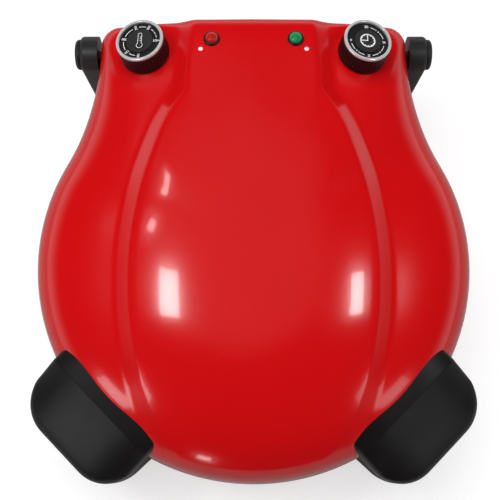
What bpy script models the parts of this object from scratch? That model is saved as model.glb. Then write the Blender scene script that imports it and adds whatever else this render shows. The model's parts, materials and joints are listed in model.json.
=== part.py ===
"""Electric pizza oven: a round clamshell cooker with a stone in the base and a hinged, domed lid.

The drawing frame has its origin under the middle of the stone, on the surface that the feet stand
on. +Y points to the hinge, +Z up. An empty moves that frame so that the oven's box is centred.
"""
from math import asin, atan2, cos, hypot, pi, radians, sin, sqrt

import bmesh
import bpy
from mathutils import Matrix, Vector

mm = 0.001

# Shared fits
seat_gap = 0.3 * mm            # between pieces that touch
overrun = 2.0 * mm             # how far a cutter passes what it cuts
weld = 0.001 * mm
sheet = 1.2 * mm
shell_wall = 2.5 * mm

# Plan: the stone sets the oven's size, and the pan, housing and hinge follow it
stone_radius = 155.0 * mm
pan_margin = 5.0 * mm          # from the stone to the pan's wall
rim_margin = 13.5 * mm         # from the pan's wall to the housing's rim
pan_wall_radius = stone_radius + pan_margin
rim_radius = pan_wall_radius + rim_margin
neck_step = 47.0 * mm
neck_half = rim_radius - neck_step   # half width of the neck that the hinge holds
neck_sweep = 220.0 * mm        # hollow curve from the round body into the neck
rear_overhang = 20.0 * mm
rear_reach = rim_radius + rear_overhang
rear_corner = 14.0 * mm

# Heights
base_floor_z = 12.0 * mm
parting_z = 84.0 * mm          # top of the base rim
parting_gap = 1.0 * mm
lid_rim_z = parting_z + parting_gap
lid_height = 58.0 * mm         # from the lid's rim to its shoulders
stone_thickness = 13.0 * mm
stone_drop = 5.0 * mm          # of the stone's top under the base rim
stone_top_z = parting_z - stone_drop
pan_room = 21.0 * mm           # under the stone
pan_floor_z = stone_top_z - stone_thickness - pan_room
reflector_room = 12.0 * mm     # between the two domes
reflector_top_z = lid_rim_z + lid_height - reflector_room

# Form of the lid
rear_fall = 0.035              # slope of the shoulders towards the hinge
rear_fall_run = 81.5 * mm
rear_fall_blend = 20.0 * mm
side_fall = 0.12               # slope of the neck's shoulders towards its sides
front_roundness = 0.34         # of the dome's section, in front and at the sides
rear_roundness = 0.07

# Raised panel of the lid
tongue_neck_share = 0.3795     # of the neck's half width
tongue_neck_half = tongue_neck_share * neck_half
tongue_lift = 8.0 * mm
tongue_bulge = 7.5 * mm
tongue_band = 13.0 * mm
tongue_lift_shares = {"front": 0.35, "rear": 0.6}
tongue_shares = [
    (0.0, -0.951), (0.127, -0.942), (0.245, -0.918), (0.300, -0.892), (0.337, -0.853),
    (0.406, -0.738), (0.470, -0.576), (0.513, -0.360), (0.530, -0.190), (0.527, 0.030),
    (0.490, 0.282), (0.4265, 0.484), (0.352, 0.690), (0.300, 0.830),
]

# Facets of the housings
arc_steps = 13
sweep_steps = 4
corner_steps = 3
rear_steps = 2
crown_ring_shares = [0.3, 0.6, 0.8, 0.93]
wall_rings = 5

# Base housing
neck_rebate = 0.5 * mm
base_neck_half = neck_half + neck_rebate
base_rear_step = 10.5 * mm
base_rear_reach = rear_reach - base_rear_step
base_rear_corner = 10.0 * mm
base_inset = 42.0 * mm
base_levels_shares = [(1.0, 0.0), (0.60, 0.06), (0.28, 0.22), (0.09, 0.52), (0.0, 1.0)]

# Plates that close the necks
deck_fall = 7.0 * mm           # of the base rim at the hinge, clear of the lid as it swings
deck_z = parting_z - deck_fall
deck_run = 31.0 * mm
deck_start = base_rear_reach - deck_run
deck_thickness = 2.0 * mm
deck_drop = 1.0 * mm
deck_play = 1.3 * mm
cover_play = 0.5 * mm

# Stone, pan and reflector
stone_edge = 2.0 * mm
pan_ledge_width = 12.0 * mm
pan_ledge_radius = pan_wall_radius - pan_ledge_width
pan_slope = 10.0 * mm
pan_floor_radius = pan_ledge_radius - pan_slope
pan_sides = 36
flange_drop = 1.0 * mm
flange_play = 1.0 * mm         # clears the flats of the faceted housing
sweep_play = 0.8 * mm          # between the pan's flange and the lid as it swings
reflector_margin = 15.5 * mm
reflector_radius = rim_radius - reflector_margin
reflector_power = 2.6
reflector_shares = [0.35, 0.6, 0.78, 0.89, 0.96]

# Heating elements
element_tube = 7.0 * mm
element_margin = 39.0 * mm     # from the stone's edge
element_radius = stone_radius - element_margin
element_end_half = 15.0 * mm
element_bend = 7.0 * mm
element_tail = 14.0 * mm
upper_element_drop = 21.0 * mm
upper_element_z = reflector_top_z - upper_element_drop
lower_element_rise = 9.5 * mm
lower_element_z = pan_floor_z + lower_element_rise
element_steps = 36
clip_width = 7.0 * mm
clip_sheet = 1.2 * mm
clip_angles = [radians(-90.0), radians(20.0), radians(160.0)]
clip_foot = 5.0 * mm
clip_play = 0.7 * mm          # the tube's ring is faceted

# Knobs
knob_radius = 19.6 * mm
knob_height = 18.5 * mm
knob_ribs = 32
knob_rib_depth = 0.5 * mm
knob_lift = 0.8 * mm
knob_wall = 1.8 * mm
knob_lean_out = radians(10.0)
knob_lean_back = radians(9.0)
seat_margin = 4.4 * mm         # of the seat round the knob
seat_radius = knob_radius + seat_margin
seat_rim = 1.0 * mm
seat_depth = 6.0 * mm
knob_side_room = 16.0 * mm
knob_x = neck_half - knob_side_room - seat_radius
knob_rear_room = 7.5 * mm
knob_y = rear_reach - knob_rear_room - seat_radius
ring_width = 2.6 * mm
ring_height = 2.2 * mm
dial_depth = 2.2 * mm
dial_thickness = 1.6 * mm
dial_cap_radius = 10.6 * mm
dial_cap_height = 0.6 * mm
shaft_radius = 3.0 * mm
control_margin = 6.0 * mm      # of the switch body inside the seat
control_radius = seat_radius - control_margin
control_height = 17.0 * mm
control_collar = 6.0 * mm

# Lamps
lamp_share = 0.385             # of the way to the knobs
lamp_x = lamp_share * knob_x
lamp_setback = 23.5 * mm
lamp_y = rear_reach - lamp_setback
lamp_lean_back = radians(8.0)
lamp_bezel_radius = 6.6 * mm
lamp_bezel_height = 1.6 * mm
lamp_lens_radius = 5.0 * mm
lamp_stem_radius = 3.4 * mm
lamp_seat_depth = 0.8 * mm
lamp_holder_length = 13.0 * mm
lamp_wall = 1.4 * mm
lamp_slope_room = 1.2 * mm

# Hinge
barrel_radius = 15.0 * mm
barrel_setback = 2.5 * mm
hinge_y = rear_reach - barrel_setback - barrel_radius
hinge_rise = 20.0 * mm
hinge_z = lid_rim_z + hinge_rise
arm_play = 2.5 * mm
arm_inner = neck_half + arm_play
arm_width = 15.0 * mm
arm_taper = 5.0 * mm
arm_foot_rise = 26.0 * mm
arm_foot_z = base_floor_z + arm_foot_rise
arm_hug = 10.0 * mm            # how far the arm's foot reaches in before it is fitted to the base
arm_front_shift = 3.0 * mm
arm_chamfer = 2.5 * mm
arm_steps = 9
hinge_cap_length = 4.0 * mm
hinge_cap_groove = 0.6 * mm
pin_radius = 4.0 * mm
pin_play = 0.4 * mm
bush_wall = 1.4 * mm
bush_radius = pin_radius + pin_play + bush_wall
bush_recess = 0.5 * mm
hinge_boss_wall = 2.4 * mm
hinge_boss_radius = bush_radius + hinge_boss_wall
hinge_boss_length = 14.0 * mm
hinge_boss_recess = 1.9 * mm   # keeps the boss inside the wall's rounded corner

# Handles
handle_angle = radians(45.0)   # from the front, to each side
handle_sink = 23.5 * mm        # of the inner edge inside the rim
handle_inner = rim_radius - handle_sink
handle_reach = 37.5 * mm       # of the outer edge beyond the rim
handle_outer = rim_radius + handle_reach
handle_ridge_sink = 8.5 * mm
handle_ridge = rim_radius - handle_ridge_sink
handle_ridge_share = 0.62      # of the lid's height
handle_ridge_height = handle_ridge_share * lid_height
handle_half = 51.5 * mm
handle_corner = 30.0 * mm
handle_tip = 9.0 * mm
handle_end_drop = 6.0 * mm
handle_lip_height = 13.0 * mm
handle_inner_rise = 3.0 * mm
handle_round = 4.0 * mm
handle_lift = 1.0 * mm
handle_columns = 8
handle_row_shares = [0.0, 0.03, 0.09, 0.4, 0.72, 0.86, 1.0]
base_handle_share = 0.8        # the lower handle is the same form, less deep

# Feet, gland and terminals
foot_radius = 12.0 * mm
foot_bevel = 1.5 * mm
foot_inset = 89.5 * mm         # from the rim, to the side and to the front
foot_place = rim_radius - foot_inset
foot_rear_inset = 83.0 * mm
foot_rear_place = base_rear_reach - foot_rear_inset
gland_share = 0.49             # of the neck's half width
gland_x = gland_share * neck_half
gland_rise = 28.0 * mm
gland_z = base_floor_z + gland_rise
gland_radius = 6.0 * mm
gland_bore = 3.6 * mm
gland_flange = 9.0 * mm
gland_flange_thickness = 2.5 * mm
gland_nose = 8.5 * mm
terminal_size = (38.0 * mm, 18.0 * mm, 14.0 * mm)
terminal_setback = 71.0 * mm
terminal_place = (gland_x, base_rear_reach - terminal_setback)
terminal_poles = 3
terminal_pole_radius = 2.4 * mm
terminal_pole_depth = 5.0 * mm
terminal_bevel = 1.0 * mm

chamber_shift = (rim_radius - rear_reach) / 2
sides = [(-1.0, "left"), (1.0, "right")]
lid_outline = (rim_radius, neck_half, rear_reach, rear_corner)
base_outline = (rim_radius, base_neck_half, base_rear_reach, base_rear_corner)


def clear_scene():
    for item in list(bpy.data.objects):
        bpy.data.objects.remove(item)


def finish(name, colour, roughness, metallic=0.0):
    """A plain Principled material."""
    material = bpy.data.materials.new(name)
    material.use_nodes = True
    shader = material.node_tree.nodes["Principled BSDF"]
    shader.inputs["Base Color"].default_value = (*colour, 1.0)
    shader.inputs["Roughness"].default_value = roughness
    shader.inputs["Metallic"].default_value = metallic
    material.diffuse_color = (*colour, 1.0)
    return material


def add_empty(name, place, parent=None):
    empty = bpy.data.objects.new(name, None)
    bpy.context.scene.collection.objects.link(empty)
    empty.parent = parent
    empty.matrix_basis = place
    return empty


def drawn_place(carrier):
    """Where a carrier stands in the drawing frame."""
    place = Matrix.Identity(4)
    while carrier.parent is not None:
        place = carrier.matrix_basis @ place
        carrier = carrier.parent
    return place


def add_piece(name, bm, material, carrier, local=False, sharp=radians(32.0)):
    """Make an object of a bmesh, in the drawing frame or in its carrier's own frame."""
    bmesh.ops.recalc_face_normals(bm, faces=bm.faces)
    mesh = bpy.data.meshes.new(name)
    bm.to_mesh(mesh)
    bm.free()
    mesh.shade_smooth()
    mesh.set_sharp_from_angle(angle=sharp)
    mesh.materials.append(material)
    piece = bpy.data.objects.new(name, mesh)
    bpy.context.scene.collection.objects.link(piece)
    piece.parent = carrier
    if not local:
        piece.matrix_basis = drawn_place(carrier).inverted()
    return piece


def as_guide(piece):
    piece.hide_render = True
    piece.display_type = "WIRE"
    return piece


def combine(piece, tool, operation="DIFFERENCE"):
    """Cut or join a piece with a tool object, which stays out of the model."""
    modifier = piece.modifiers.new(tool.name, "BOOLEAN")
    modifier.operation = operation
    modifier.object = as_guide(tool)
    return piece


def soften(piece, width, segments=2, angle=radians(40.0)):
    modifier = piece.modifiers.new("soften", "BEVEL")
    modifier.width = width
    modifier.segments = segments
    modifier.limit_method = "ANGLE"
    modifier.angle_limit = angle
    return piece


def skin(rings, closed=False):
    """Skin rows of points. A row may have a share of its neighbour's points, or one as a pole,
    and the end rows are filled. The diagonals are mirrored halfway, so that both sides match."""
    bm = bmesh.new()
    rows = [[bm.verts.new(point) for point in ring] for ring in rings]
    pairs = list(zip(rows, rows[1:]))
    if closed:
        pairs.append((rows[-1], rows[0]))
    for low, high in pairs:
        count = max(len(low), len(high))
        for i in range(count):
            a, b = (low[k * len(low) // count % len(low)] for k in (i, i + 1))
            d, c = (high[k * len(high) // count % len(high)] for k in (i, i + 1))
            halves = ((a, b, c), (a, c, d)) if 2 * i < count else ((a, b, d), (b, c, d))
            for corners in halves:
                if len(set(corners)) == 3:
                    bm.faces.new(corners)
    if not closed:
        for row in (rows[0], rows[-1]):
            if len(row) > 2:
                bm.faces.new(row)
    return bm


def turn(profile, sides=24):
    """Spin a profile of (radius, z) round Z. One that leaves the axis is closed on itself."""
    bm = bmesh.new()
    verts = [bm.verts.new((radius, 0.0, z)) for radius, z in profile]
    edges = [bm.edges.new(pair) for pair in zip(verts, verts[1:])]
    if profile[0][0] > 0.0 or profile[-1][0] > 0.0:
        edges.append(bm.edges.new((verts[-1], verts[0])))
    bmesh.ops.spin(bm, geom=verts + edges, cent=(0, 0, 0), axis=(0, 0, 1), angle=2 * pi,
                   steps=sides, use_merge=True)
    bmesh.ops.remove_doubles(bm, verts=bm.verts, dist=weld)
    return bm


def moved(bm, place):
    bmesh.ops.transform(bm, matrix=place, verts=bm.verts)
    return bm


def gathered(forms):
    """Several forms that don't meet, as one tool."""
    whole = bmesh.new()
    mesh = bpy.data.meshes.new("gathered")
    for form in forms:
        form.to_mesh(mesh)
        whole.from_mesh(mesh)
        form.free()
    bpy.data.meshes.remove(mesh)
    return whole


def stepped(radius, low, level, wide, high, sides=24):
    """A bore with a wider recess above it."""
    return turn([(0.0, low), (radius, low), (radius, level), (wide, level), (wide, high),
                 (0.0, high)], sides)


def rod(radius, low, high, sides=24):
    return turn([(0.0, low), (radius, low), (radius, high), (0.0, high)], sides)


def hinge_axis(side):
    """Lay a turned form's axis along the hinge, outward from the middle to one side."""
    turn_out = Matrix.Rotation(0.0 if side > 0 else pi, 4, "Z")
    return Matrix.Translation((0.0, hinge_y, hinge_z)) @ turn_out @ Matrix.Rotation(pi / 2, 4, "Y")


def blend(value, low, high):
    """Smooth step from 0 at low to 1 at high."""
    share = min(max((value - low) / (high - low), 0.0), 1.0)
    return share * share * (3.0 - 2.0 * share)


def housing_outline(outline, inset=0.0, rear_inset=None, stops=()):
    """Plan of a housing, from the front round the +X side and back: a round body whose sides
    run in a hollow sweep into a square neck. Stops are extra places on the rear edge."""
    radius, neck, rear, corner = outline
    rear_inset = inset if rear_inset is None else rear_inset
    radius, rear = radius - inset, rear - rear_inset
    sweep = neck_sweep + inset
    centre_x = neck - inset + sweep
    centre_y = sqrt((radius + sweep) ** 2 - centre_x ** 2)
    meet = atan2(centre_y, centre_x)
    half = []
    for i in range(arc_steps):
        angle = -pi / 2 + (meet + pi / 2) * i / arc_steps
        half.append((radius * cos(angle), radius * sin(angle)))
    corner_y = rear - corner
    last = asin((centre_y - corner_y) / sweep)
    for i in range(sweep_steps):
        angle = meet + (last - meet) * i / sweep_steps
        half.append((centre_x - sweep * cos(angle), centre_y - sweep * sin(angle)))
    corner_x = centre_x - sweep * cos(last) - corner
    for i in range(corner_steps + 1):
        angle = pi / 2 * i / corner_steps
        half.append((corner_x + corner * cos(angle), corner_y + corner * sin(angle)))
    places = {corner_x * i / rear_steps for i in range(rear_steps)} | set(stops)
    half += [(x, rear) for x in sorted(places, reverse=True)]
    return half + [(-x, y) for x, y in reversed(half[1:-1])]


def crease_curves():
    """Inner and outer edge of the band round the raised panel, on the +X side."""
    control = [Vector((x * rim_radius, y * rim_radius)) for x, y in tongue_shares]
    control[-1].x = control[-2].x = max(tongue_neck_half, control[-1].x)
    control += [Vector((tongue_neck_half, rear_reach)), Vector((tongue_neck_half, 4 * rear_reach))]
    mirror = Vector((-control[1].x, control[1].y))
    chain = [mirror, *control]
    inner = []
    for before, start, end, after in zip(chain, chain[1:], chain[2:], chain[3:]):
        for i in range(3):
            t = i / 3
            inner.append(0.5 * (2 * start + (end - before) * t
                                + (2 * before - 5 * start + 4 * end - after) * t ** 2
                                + (3 * start - before - 3 * end + after) * t ** 3))
    inner += control[-2:]
    outer = []
    for i, point in enumerate(inner):
        along = (inner[min(i + 1, len(inner) - 1)] - inner[max(i - 1, 0)]).normalized()
        outer.append(point + tongue_band * Vector((along.y, -along.x)))
    return inner, outer


def reach_along(curve, angle):
    """How far from the middle a ray at an angle from the front meets a curve."""
    ray = Vector((abs(sin(angle)), -cos(angle)))
    for start, end in zip(curve, curve[1:]):
        side = end - start
        spread = ray.x * side.y - ray.y * side.x
        if spread == 0.0:
            continue
        share = (start.y * ray.x - start.x * ray.y) / -spread
        reach = (start.x * side.y - start.y * side.x) / spread
        if -0.001 <= share <= 1.001 and reach > 0.0:
            return reach
    return 4 * rear_reach


def band_reaches(curves, angle):
    near, far = reach_along(curves[0], angle), reach_along(curves[1], angle)
    return near, max(far, near + tongue_band)


def crown_at(x, y, band_share, centre_share):
    """Height over the rim of the lid's top, before its edge is rounded down."""
    ahead = y - (rear_reach - rear_fall_run)
    fall = rear_fall * (ahead + hypot(ahead, rear_fall_blend)) / 2
    front = tongue_lift_shares["front"]
    rear = tongue_lift_shares["rear"]
    lift = front + (1.0 - front) * blend(y, -0.9 * rim_radius, -0.3 * rim_radius)
    lift -= (1.0 - rear) * blend(y, 0.5 * rim_radius, rear_reach)
    bulge = (1.0 - centre_share ** 2) * (1.0 - 0.85 * blend(y, 0.3 * rim_radius, rear_reach))
    fall += side_fall * max(abs(x) - tongue_neck_half, 0.0) * blend(y, 0.3 * rim_radius, knob_y)
    return lid_height - fall + tongue_lift * lift * band_share + tongue_bulge * bulge


def section_power(angle):
    """How square the dome's section is, at an angle from the front."""
    rearward = blend(angle, 0.64 * pi, 0.88 * pi)
    return 1.0 / (front_roundness + (rear_roundness - front_roundness) * rearward)


def lid_surface(inset):
    """Rows of points over the lid, from its middle to its rim, inset from the outer face."""
    curves = crease_curves()
    stops = (tongue_neck_half, tongue_neck_half + tongue_band)
    spokes = []
    for x, y in housing_outline(lid_outline, inset, stops=stops):
        length, angle = hypot(x, y), atan2(x, -y)
        near, far = band_reaches(curves, angle)
        power = section_power(abs(angle))
        shares = [min(near / length, 0.955), min(far / length, 0.975)]
        places = [shares[0] * share for share in crown_ring_shares] + shares
        first = asin(shares[1] ** (power / 2))
        for i in range(1, wall_rings):
            places.append(sin(first + (pi / 2 - first) * i / wall_rings) ** (2 / power))
        spoke = []
        for share in places:
            reach = share * length
            band_share = min(max((far - reach) / (far - near), 0.0), 1.0)
            centre_share = min(reach / near, 1.0)
            height = crown_at(share * x, share * y, band_share, centre_share) - inset
            edge = (1.0 - share ** power) ** (1 / power)
            spoke.append((share * x, share * y, lid_rim_z + height * edge))
        spoke.append((x, y, lid_rim_z))
        spokes.append(spoke)
    top = lid_rim_z + crown_at(0.0, 0.0, 1.0, 0.0) - inset
    return [[(0.0, 0.0, top)]] + [list(row) for row in zip(*spokes)]


def lid_height_at(x, y):
    """Height of the lid's outer face at a place on its top."""
    angle, reach = atan2(x, -y), hypot(x, y)
    edge_reach = rear_reach / -cos(angle)
    near, far = band_reaches(crease_curves(), angle)
    band_share = min(max((far - reach) / (far - near), 0.0), 1.0)
    height = crown_at(x, y, band_share, min(reach / near, 1.0))
    power = section_power(angle)
    return lid_rim_z + height * (1.0 - (reach / edge_reach) ** power) ** (1 / power)


def grown_lid(carrier):
    """The lid as a solid with the fit added, which trims what seats on it."""
    rows = lid_surface(-seat_gap)
    drop = [(x, y, z - overrun) for x, y, z in rows[-1]]
    return add_piece("lid_fit", skin(rows + [drop]), None, carrier)


def base_surface(inset, floor_z):
    """Rows of points down the base housing, from its rim to the edge of its floor."""
    rows = []
    for height_share, inset_share in base_levels_shares:
        side = inset + base_inset * inset_share
        row = []
        for x, y in housing_outline(base_outline, side, inset + base_inset * inset_share ** 2):
            low = blend(y, deck_start - rear_corner, deck_start)
            top = parting_z + (deck_z - parting_z) * low
            row.append((x, y, floor_z + (top - floor_z) * height_share))
        rows.append(row)
    return rows


def grown_base(carrier):
    return add_piece("base_fit", skin(base_surface(-seat_gap, base_floor_z)), None, carrier)


def seat_place(x, y, lean_out, lean_back):
    """A frame on the lid's top, leaning outward and back."""
    side = 1.0 if x > 0.0 else -1.0
    spot = Matrix.Translation((x, y, lid_height_at(abs(x), y)))
    return spot @ Matrix.Rotation(side * lean_out, 4, "Y") @ Matrix.Rotation(-lean_back, 4, "X")


def make_lid_shell(lid, red):
    """The outer dome, with a boss under each knob and at each pin, and its bores and seats."""
    bosses, cuts = [], []
    for side, word in sides:
        place = seat_place(side * knob_x, knob_y, knob_lean_out, knob_lean_back)
        bosses.append(moved(rod(seat_radius, -seat_depth, seat_rim / 2, 20), place))
        cuts.append(moved(stepped(shaft_radius + 2 * seat_gap, -seat_depth - overrun, 0.0,
                                  seat_radius - seat_rim, knob_height, 20), place))
        place = seat_place(side * lamp_x, lamp_y, 0.0, lamp_lean_back)
        cuts.append(moved(stepped(lamp_stem_radius + seat_gap, -shell_wall - 2 * overrun,
                                  -lamp_seat_depth, lamp_bezel_radius + seat_gap, 2 * overrun, 12),
                          place))
        end = neck_half - hinge_boss_recess
        bosses.append(moved(rod(hinge_boss_radius, end - hinge_boss_length, end, 12),
                            hinge_axis(side)))
        cuts.append(moved(rod(bush_radius + seat_gap, end - hinge_boss_length - overrun,
                              neck_half + overrun, 12), hinge_axis(side)))
    inside = lid_surface(shell_wall)[::-1]
    kept = [inside[0], *inside[1:-1:2], inside[-1]]
    shell = add_piece("lid_shell", skin(lid_surface(0.0) + kept), red, lid)
    combine(shell, add_piece("lid_bosses", gathered(bosses), red, lid), "UNION")
    return combine(shell, add_piece("lid_bores", gathered(cuts), red, lid))


def make_base_shell(base, red):
    outer = base_surface(0.0, base_floor_z)
    inner = base_surface(shell_wall, base_floor_z + shell_wall)
    shell = add_piece("base_shell", skin(outer[::-1] + inner), red, base)
    hole = moved(rod(gland_radius + seat_gap, -2 * overrun - shell_wall, 2 * overrun, 16),
                 gland_frame())
    combine(shell, add_piece("gland_hole", hole, red, base))
    return shell


def neck_plate(outline, inset, reach, low, high):
    """A flat plate that closes the neck, from a round edge to the housing's wall."""
    stops = [outline[1] * i / 8 for i in range(1, 7)]
    rings = []
    for x, y in housing_outline(outline, inset, stops=stops):
        length = hypot(x, y)
        if y > 0.0 and length > rim_radius + overrun:
            share = reach / length
            rings.append([(x, y, low), (x, y, high), (share * x, share * y, high),
                          (share * x, share * y, low)])
    return skin(rings)


def make_pan(base, steel):
    flange = rim_radius - shell_wall - flange_play
    top = parting_z - flange_drop
    ledge = stone_top_z - stone_thickness - seat_gap
    outer = [(0.0, pan_floor_z), (pan_floor_radius, pan_floor_z), (pan_ledge_radius, ledge),
             (pan_wall_radius, ledge), (pan_wall_radius, top), (flange, top)]
    under = [(flange, top - sheet), (pan_wall_radius + sheet, top - sheet),
             (pan_wall_radius + sheet, ledge - sheet), (pan_ledge_radius + sheet, ledge - sheet),
             (pan_floor_radius + sheet, pan_floor_z - sheet), (0.0, pan_floor_z - sheet)]
    pan = add_piece("base_pan", turn(outer + under, pan_sides), steel, base)
    for side, word in sides:
        hole = rod(element_tube / 2 + seat_gap, pan_floor_z - sheet - overrun,
                   pan_floor_z + overrun, 12)
        spot = Matrix.Translation((side * element_end_half, tail_y(), 0.0))
        combine(pan, add_piece("lower_tail_hole_" + word, moved(hole, spot), steel, base))
    swing = hypot(rear_reach - hinge_y, hinge_z - lid_rim_z) + sweep_play
    near = hinge_y - sqrt(swing ** 2 - (hinge_z - top) ** 2)
    half = rim_radius / 2
    corners = [(-half, near), (half, near), (half, rear_reach), (-half, rear_reach)]
    room = skin([[(x, y, z) for x, y in corners] for z in (top - sheet - overrun, top + overrun)])
    return combine(pan, add_piece("lid_swing_room", room, steel, base))


def reflector_lift(share):
    """Height of the inner dome over its flange, at a share of its radius."""
    rise = reflector_top_z - lid_rim_z - flange_drop
    return rise * (1.0 - share ** reflector_power) ** (1 / reflector_power)


def make_reflector(lid, steel):
    """The bright inner dome, a thin spun sheet with a flat flange."""
    flange = rim_radius - shell_wall - flange_play
    low = lid_rim_z + flange_drop
    rise = reflector_top_z - low
    outer, under = [(0.0, reflector_top_z)], [(0.0, reflector_top_z - sheet)]
    for share in reflector_shares:
        lift = reflector_lift(share)
        outer.append((share * reflector_radius, low + lift))
        under.append((share * (reflector_radius - sheet), low + lift * (1.0 - sheet / rise)))
    outer += [(reflector_radius, low + sheet), (flange, low + sheet)]
    under += [(reflector_radius - sheet, low), (flange, low)]
    dome = add_piece("lid_reflector", turn(outer + under[::-1], pan_sides), steel, lid)
    for side, word in sides:
        hole = rod(element_tube / 2 + seat_gap, upper_element_z + element_tube,
                   reflector_top_z + overrun, 12)
        spot = Matrix.Translation((side * element_end_half, tail_y(), 0.0))
        combine(dome, add_piece("upper_tail_hole_" + word, moved(hole, spot), steel, lid))
    return dome


def make_stone(base, stone):
    low = stone_top_z - stone_thickness
    profile = [(0.0, low), (stone_radius - stone_edge, low), (stone_radius, low + stone_edge),
               (stone_radius, stone_top_z - stone_edge), (stone_radius - stone_edge, stone_top_z),
               (0.0, stone_top_z)]
    return add_piece("pizza_stone", turn(profile, pan_sides), stone, base)


def tail_y():
    """Where the heating elements' ends turn out of their ring."""
    return sqrt(element_radius ** 2 - element_end_half ** 2)


def make_element(name, level, rise, carrier, steel):
    """One turn of tube whose two ends bend away, through the sheet that carries it."""
    gap = atan2(element_end_half, tail_y())
    bend_angle = element_bend / element_radius
    points = []
    for i in range(element_steps + 1):
        angle = pi / 2 + gap + bend_angle + (2 * pi - 2 * gap - 2 * bend_angle) * i / element_steps
        points.append((element_radius * cos(angle), element_radius * sin(angle), level))
    turns = []
    for i in range(1, 4):
        step = pi / 2 * i / 3
        angle = pi / 2 + gap + bend_angle * (1.0 - sin(step))
        lift = element_bend * (1.0 - cos(step)) * rise
        turns.append((element_radius * cos(angle), element_radius * sin(angle), level + lift))
    tail = (turns[-1][0], turns[-1][1], turns[-1][2] + rise * element_tail)
    start = [tail, *turns[::-1]]
    path = start + points + [(-x, y, z) for x, y, z in start[::-1]]
    curve = bpy.data.curves.new(name, "CURVE")
    curve.dimensions = "3D"
    curve.bevel_depth = element_tube / 2
    curve.bevel_resolution = 1
    curve.use_fill_caps = True
    spline = curve.splines.new("POLY")
    spline.points.add(len(path) - 1)
    for point, place in zip(spline.points, path):
        point.co = (*place, 1.0)
    curve.materials.append(steel)
    element = bpy.data.objects.new(name, curve)
    bpy.context.scene.collection.objects.link(element)
    element.parent = carrier
    element.matrix_basis = drawn_place(carrier).inverted()
    return element


def make_clip(name, angle, level, anchor, carrier, steel):
    """A bent strap: an open hook round the tube, a stem and a foot on the sheet."""
    rise = 1.0 if anchor > level else -1.0
    inner = element_tube / 2 + clip_play
    outer = inner + clip_sheet
    foot = abs(anchor - level) - seat_gap
    hook = [pi * (0.5 - 1.4 * i / 8) for i in range(9)]
    stem = clip_sheet / 2
    face = [(inner * cos(a), inner * sin(a)) for a in hook[::-1]]
    face += [(-stem, inner), (-stem, foot - clip_sheet), (-clip_foot, foot - clip_sheet),
             (-clip_foot, foot), (clip_foot, foot), (clip_foot, foot - clip_sheet),
             (stem, foot - clip_sheet), (stem, outer)]
    face += [(outer * cos(a), outer * sin(a)) for a in hook[1:]]
    rings = []
    for across in (-clip_width / 2, clip_width / 2):
        rings.append([(element_radius + x, across, level + rise * z) for x, z in face])
    strap = moved(skin(rings), Matrix.Rotation(angle, 4, "Z"))
    return add_piece(name, strap, steel, carrier)


def make_handle(name, side, flip, carrier, black, fit):
    """A grip whose top falls from a ridge near the body to a rounded outer lip."""
    count = 2 * handle_columns
    rings = []
    for i in range(count + 1):
        across = handle_half * sin(pi / 2 * (i / handle_columns - 1.0))
        beyond = max(abs(across) - (handle_half - handle_corner), 0.0)
        reach = handle_outer - handle_corner + sqrt(max(handle_corner ** 2 - beyond ** 2, 0.0))
        tip = max(abs(across) - (handle_half - handle_tip), 0.0)
        near = sqrt(handle_inner ** 2 - across ** 2)
        near += handle_tip - sqrt(max(handle_tip ** 2 - tip ** 2, 0.0))
        places = [near, handle_ridge]
        places += [handle_ridge + (reach - handle_ridge) * share for share in handle_row_shares]
        ring = [(across, near, handle_lift)]
        for place in places:
            edge = min(reach - place, 2 * (handle_half - abs(across)))
            slope = (place - handle_ridge) / (handle_outer - handle_ridge)
            if place < handle_ridge:
                height = handle_ridge_height + handle_inner_rise * (handle_ridge - place) / (
                    handle_ridge - handle_inner)
            else:
                height = handle_ridge_height + (handle_lip_height - handle_ridge_height) * slope
            height -= handle_end_drop * (across / handle_half) ** 4
            if edge < handle_round:
                height -= handle_round - sqrt(handle_round ** 2 - (handle_round - edge) ** 2)
            ring.append((across, place, height))
        ring.append((across, reach, handle_lift))
        rings.append(ring)
    scale = -base_handle_share if flip else 1.0
    level = parting_z if flip else lid_rim_z
    rings = [[(x, -y, level + z * scale) for x, y, z in ring] for ring in rings]
    grip = moved(skin(rings), Matrix.Rotation(side * handle_angle, 4, "Z"))
    return combine(add_piece(name, grip, black, carrier), fit)


def make_hinge_arm(side, word, base, black, fit):
    """An upright arm with a round head, tapered to its foot, which fits the base's neck."""
    rings = []
    hug_top = deck_z - overrun
    levels = [(arm_foot_z, arm_hug), ((arm_foot_z + hug_top - arm_hug) / 2, arm_hug),
              (hug_top - arm_hug, arm_hug), (hug_top, 0.0), ((hug_top + hinge_z) / 2, 0.0)]
    levels += [(hinge_z - barrel_radius * cos(pi * (0.5 + 0.47 * i / arm_steps)), 0.0)
               for i in range(arm_steps + 1)]
    for z, hug in levels:
        low = max(hinge_z - z, 0.0) / (hinge_z - arm_foot_z)
        reach = barrel_radius
        if z > hinge_z:
            reach = sqrt(max(barrel_radius ** 2 - (z - hinge_z) ** 2, 0.0))
        inner, outer = arm_inner - hug, arm_inner + arm_width - arm_taper * low
        front = hinge_y - reach - arm_front_shift * low
        rear = hinge_y + reach - arm_front_shift * low
        cut = min(arm_chamfer, reach / 2)
        rings.append([(inner, front, z), (outer - cut, front, z), (outer, front + cut, z),
                      (outer, rear - cut, z), (outer - cut, rear, z), (inner, rear, z)])
    rings = [[(side * x, y, z) for x, y, z in ring] for ring in rings]
    arm = add_piece("hinge_arm_" + word, skin(rings), black, base)
    hole = rod(pin_radius + seat_gap, arm_inner - overrun, arm_inner + arm_width + overrun, 12)
    combine(arm, add_piece("arm_hole_" + word, moved(hole, hinge_axis(side)), black, base))
    return combine(arm, fit)


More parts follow.
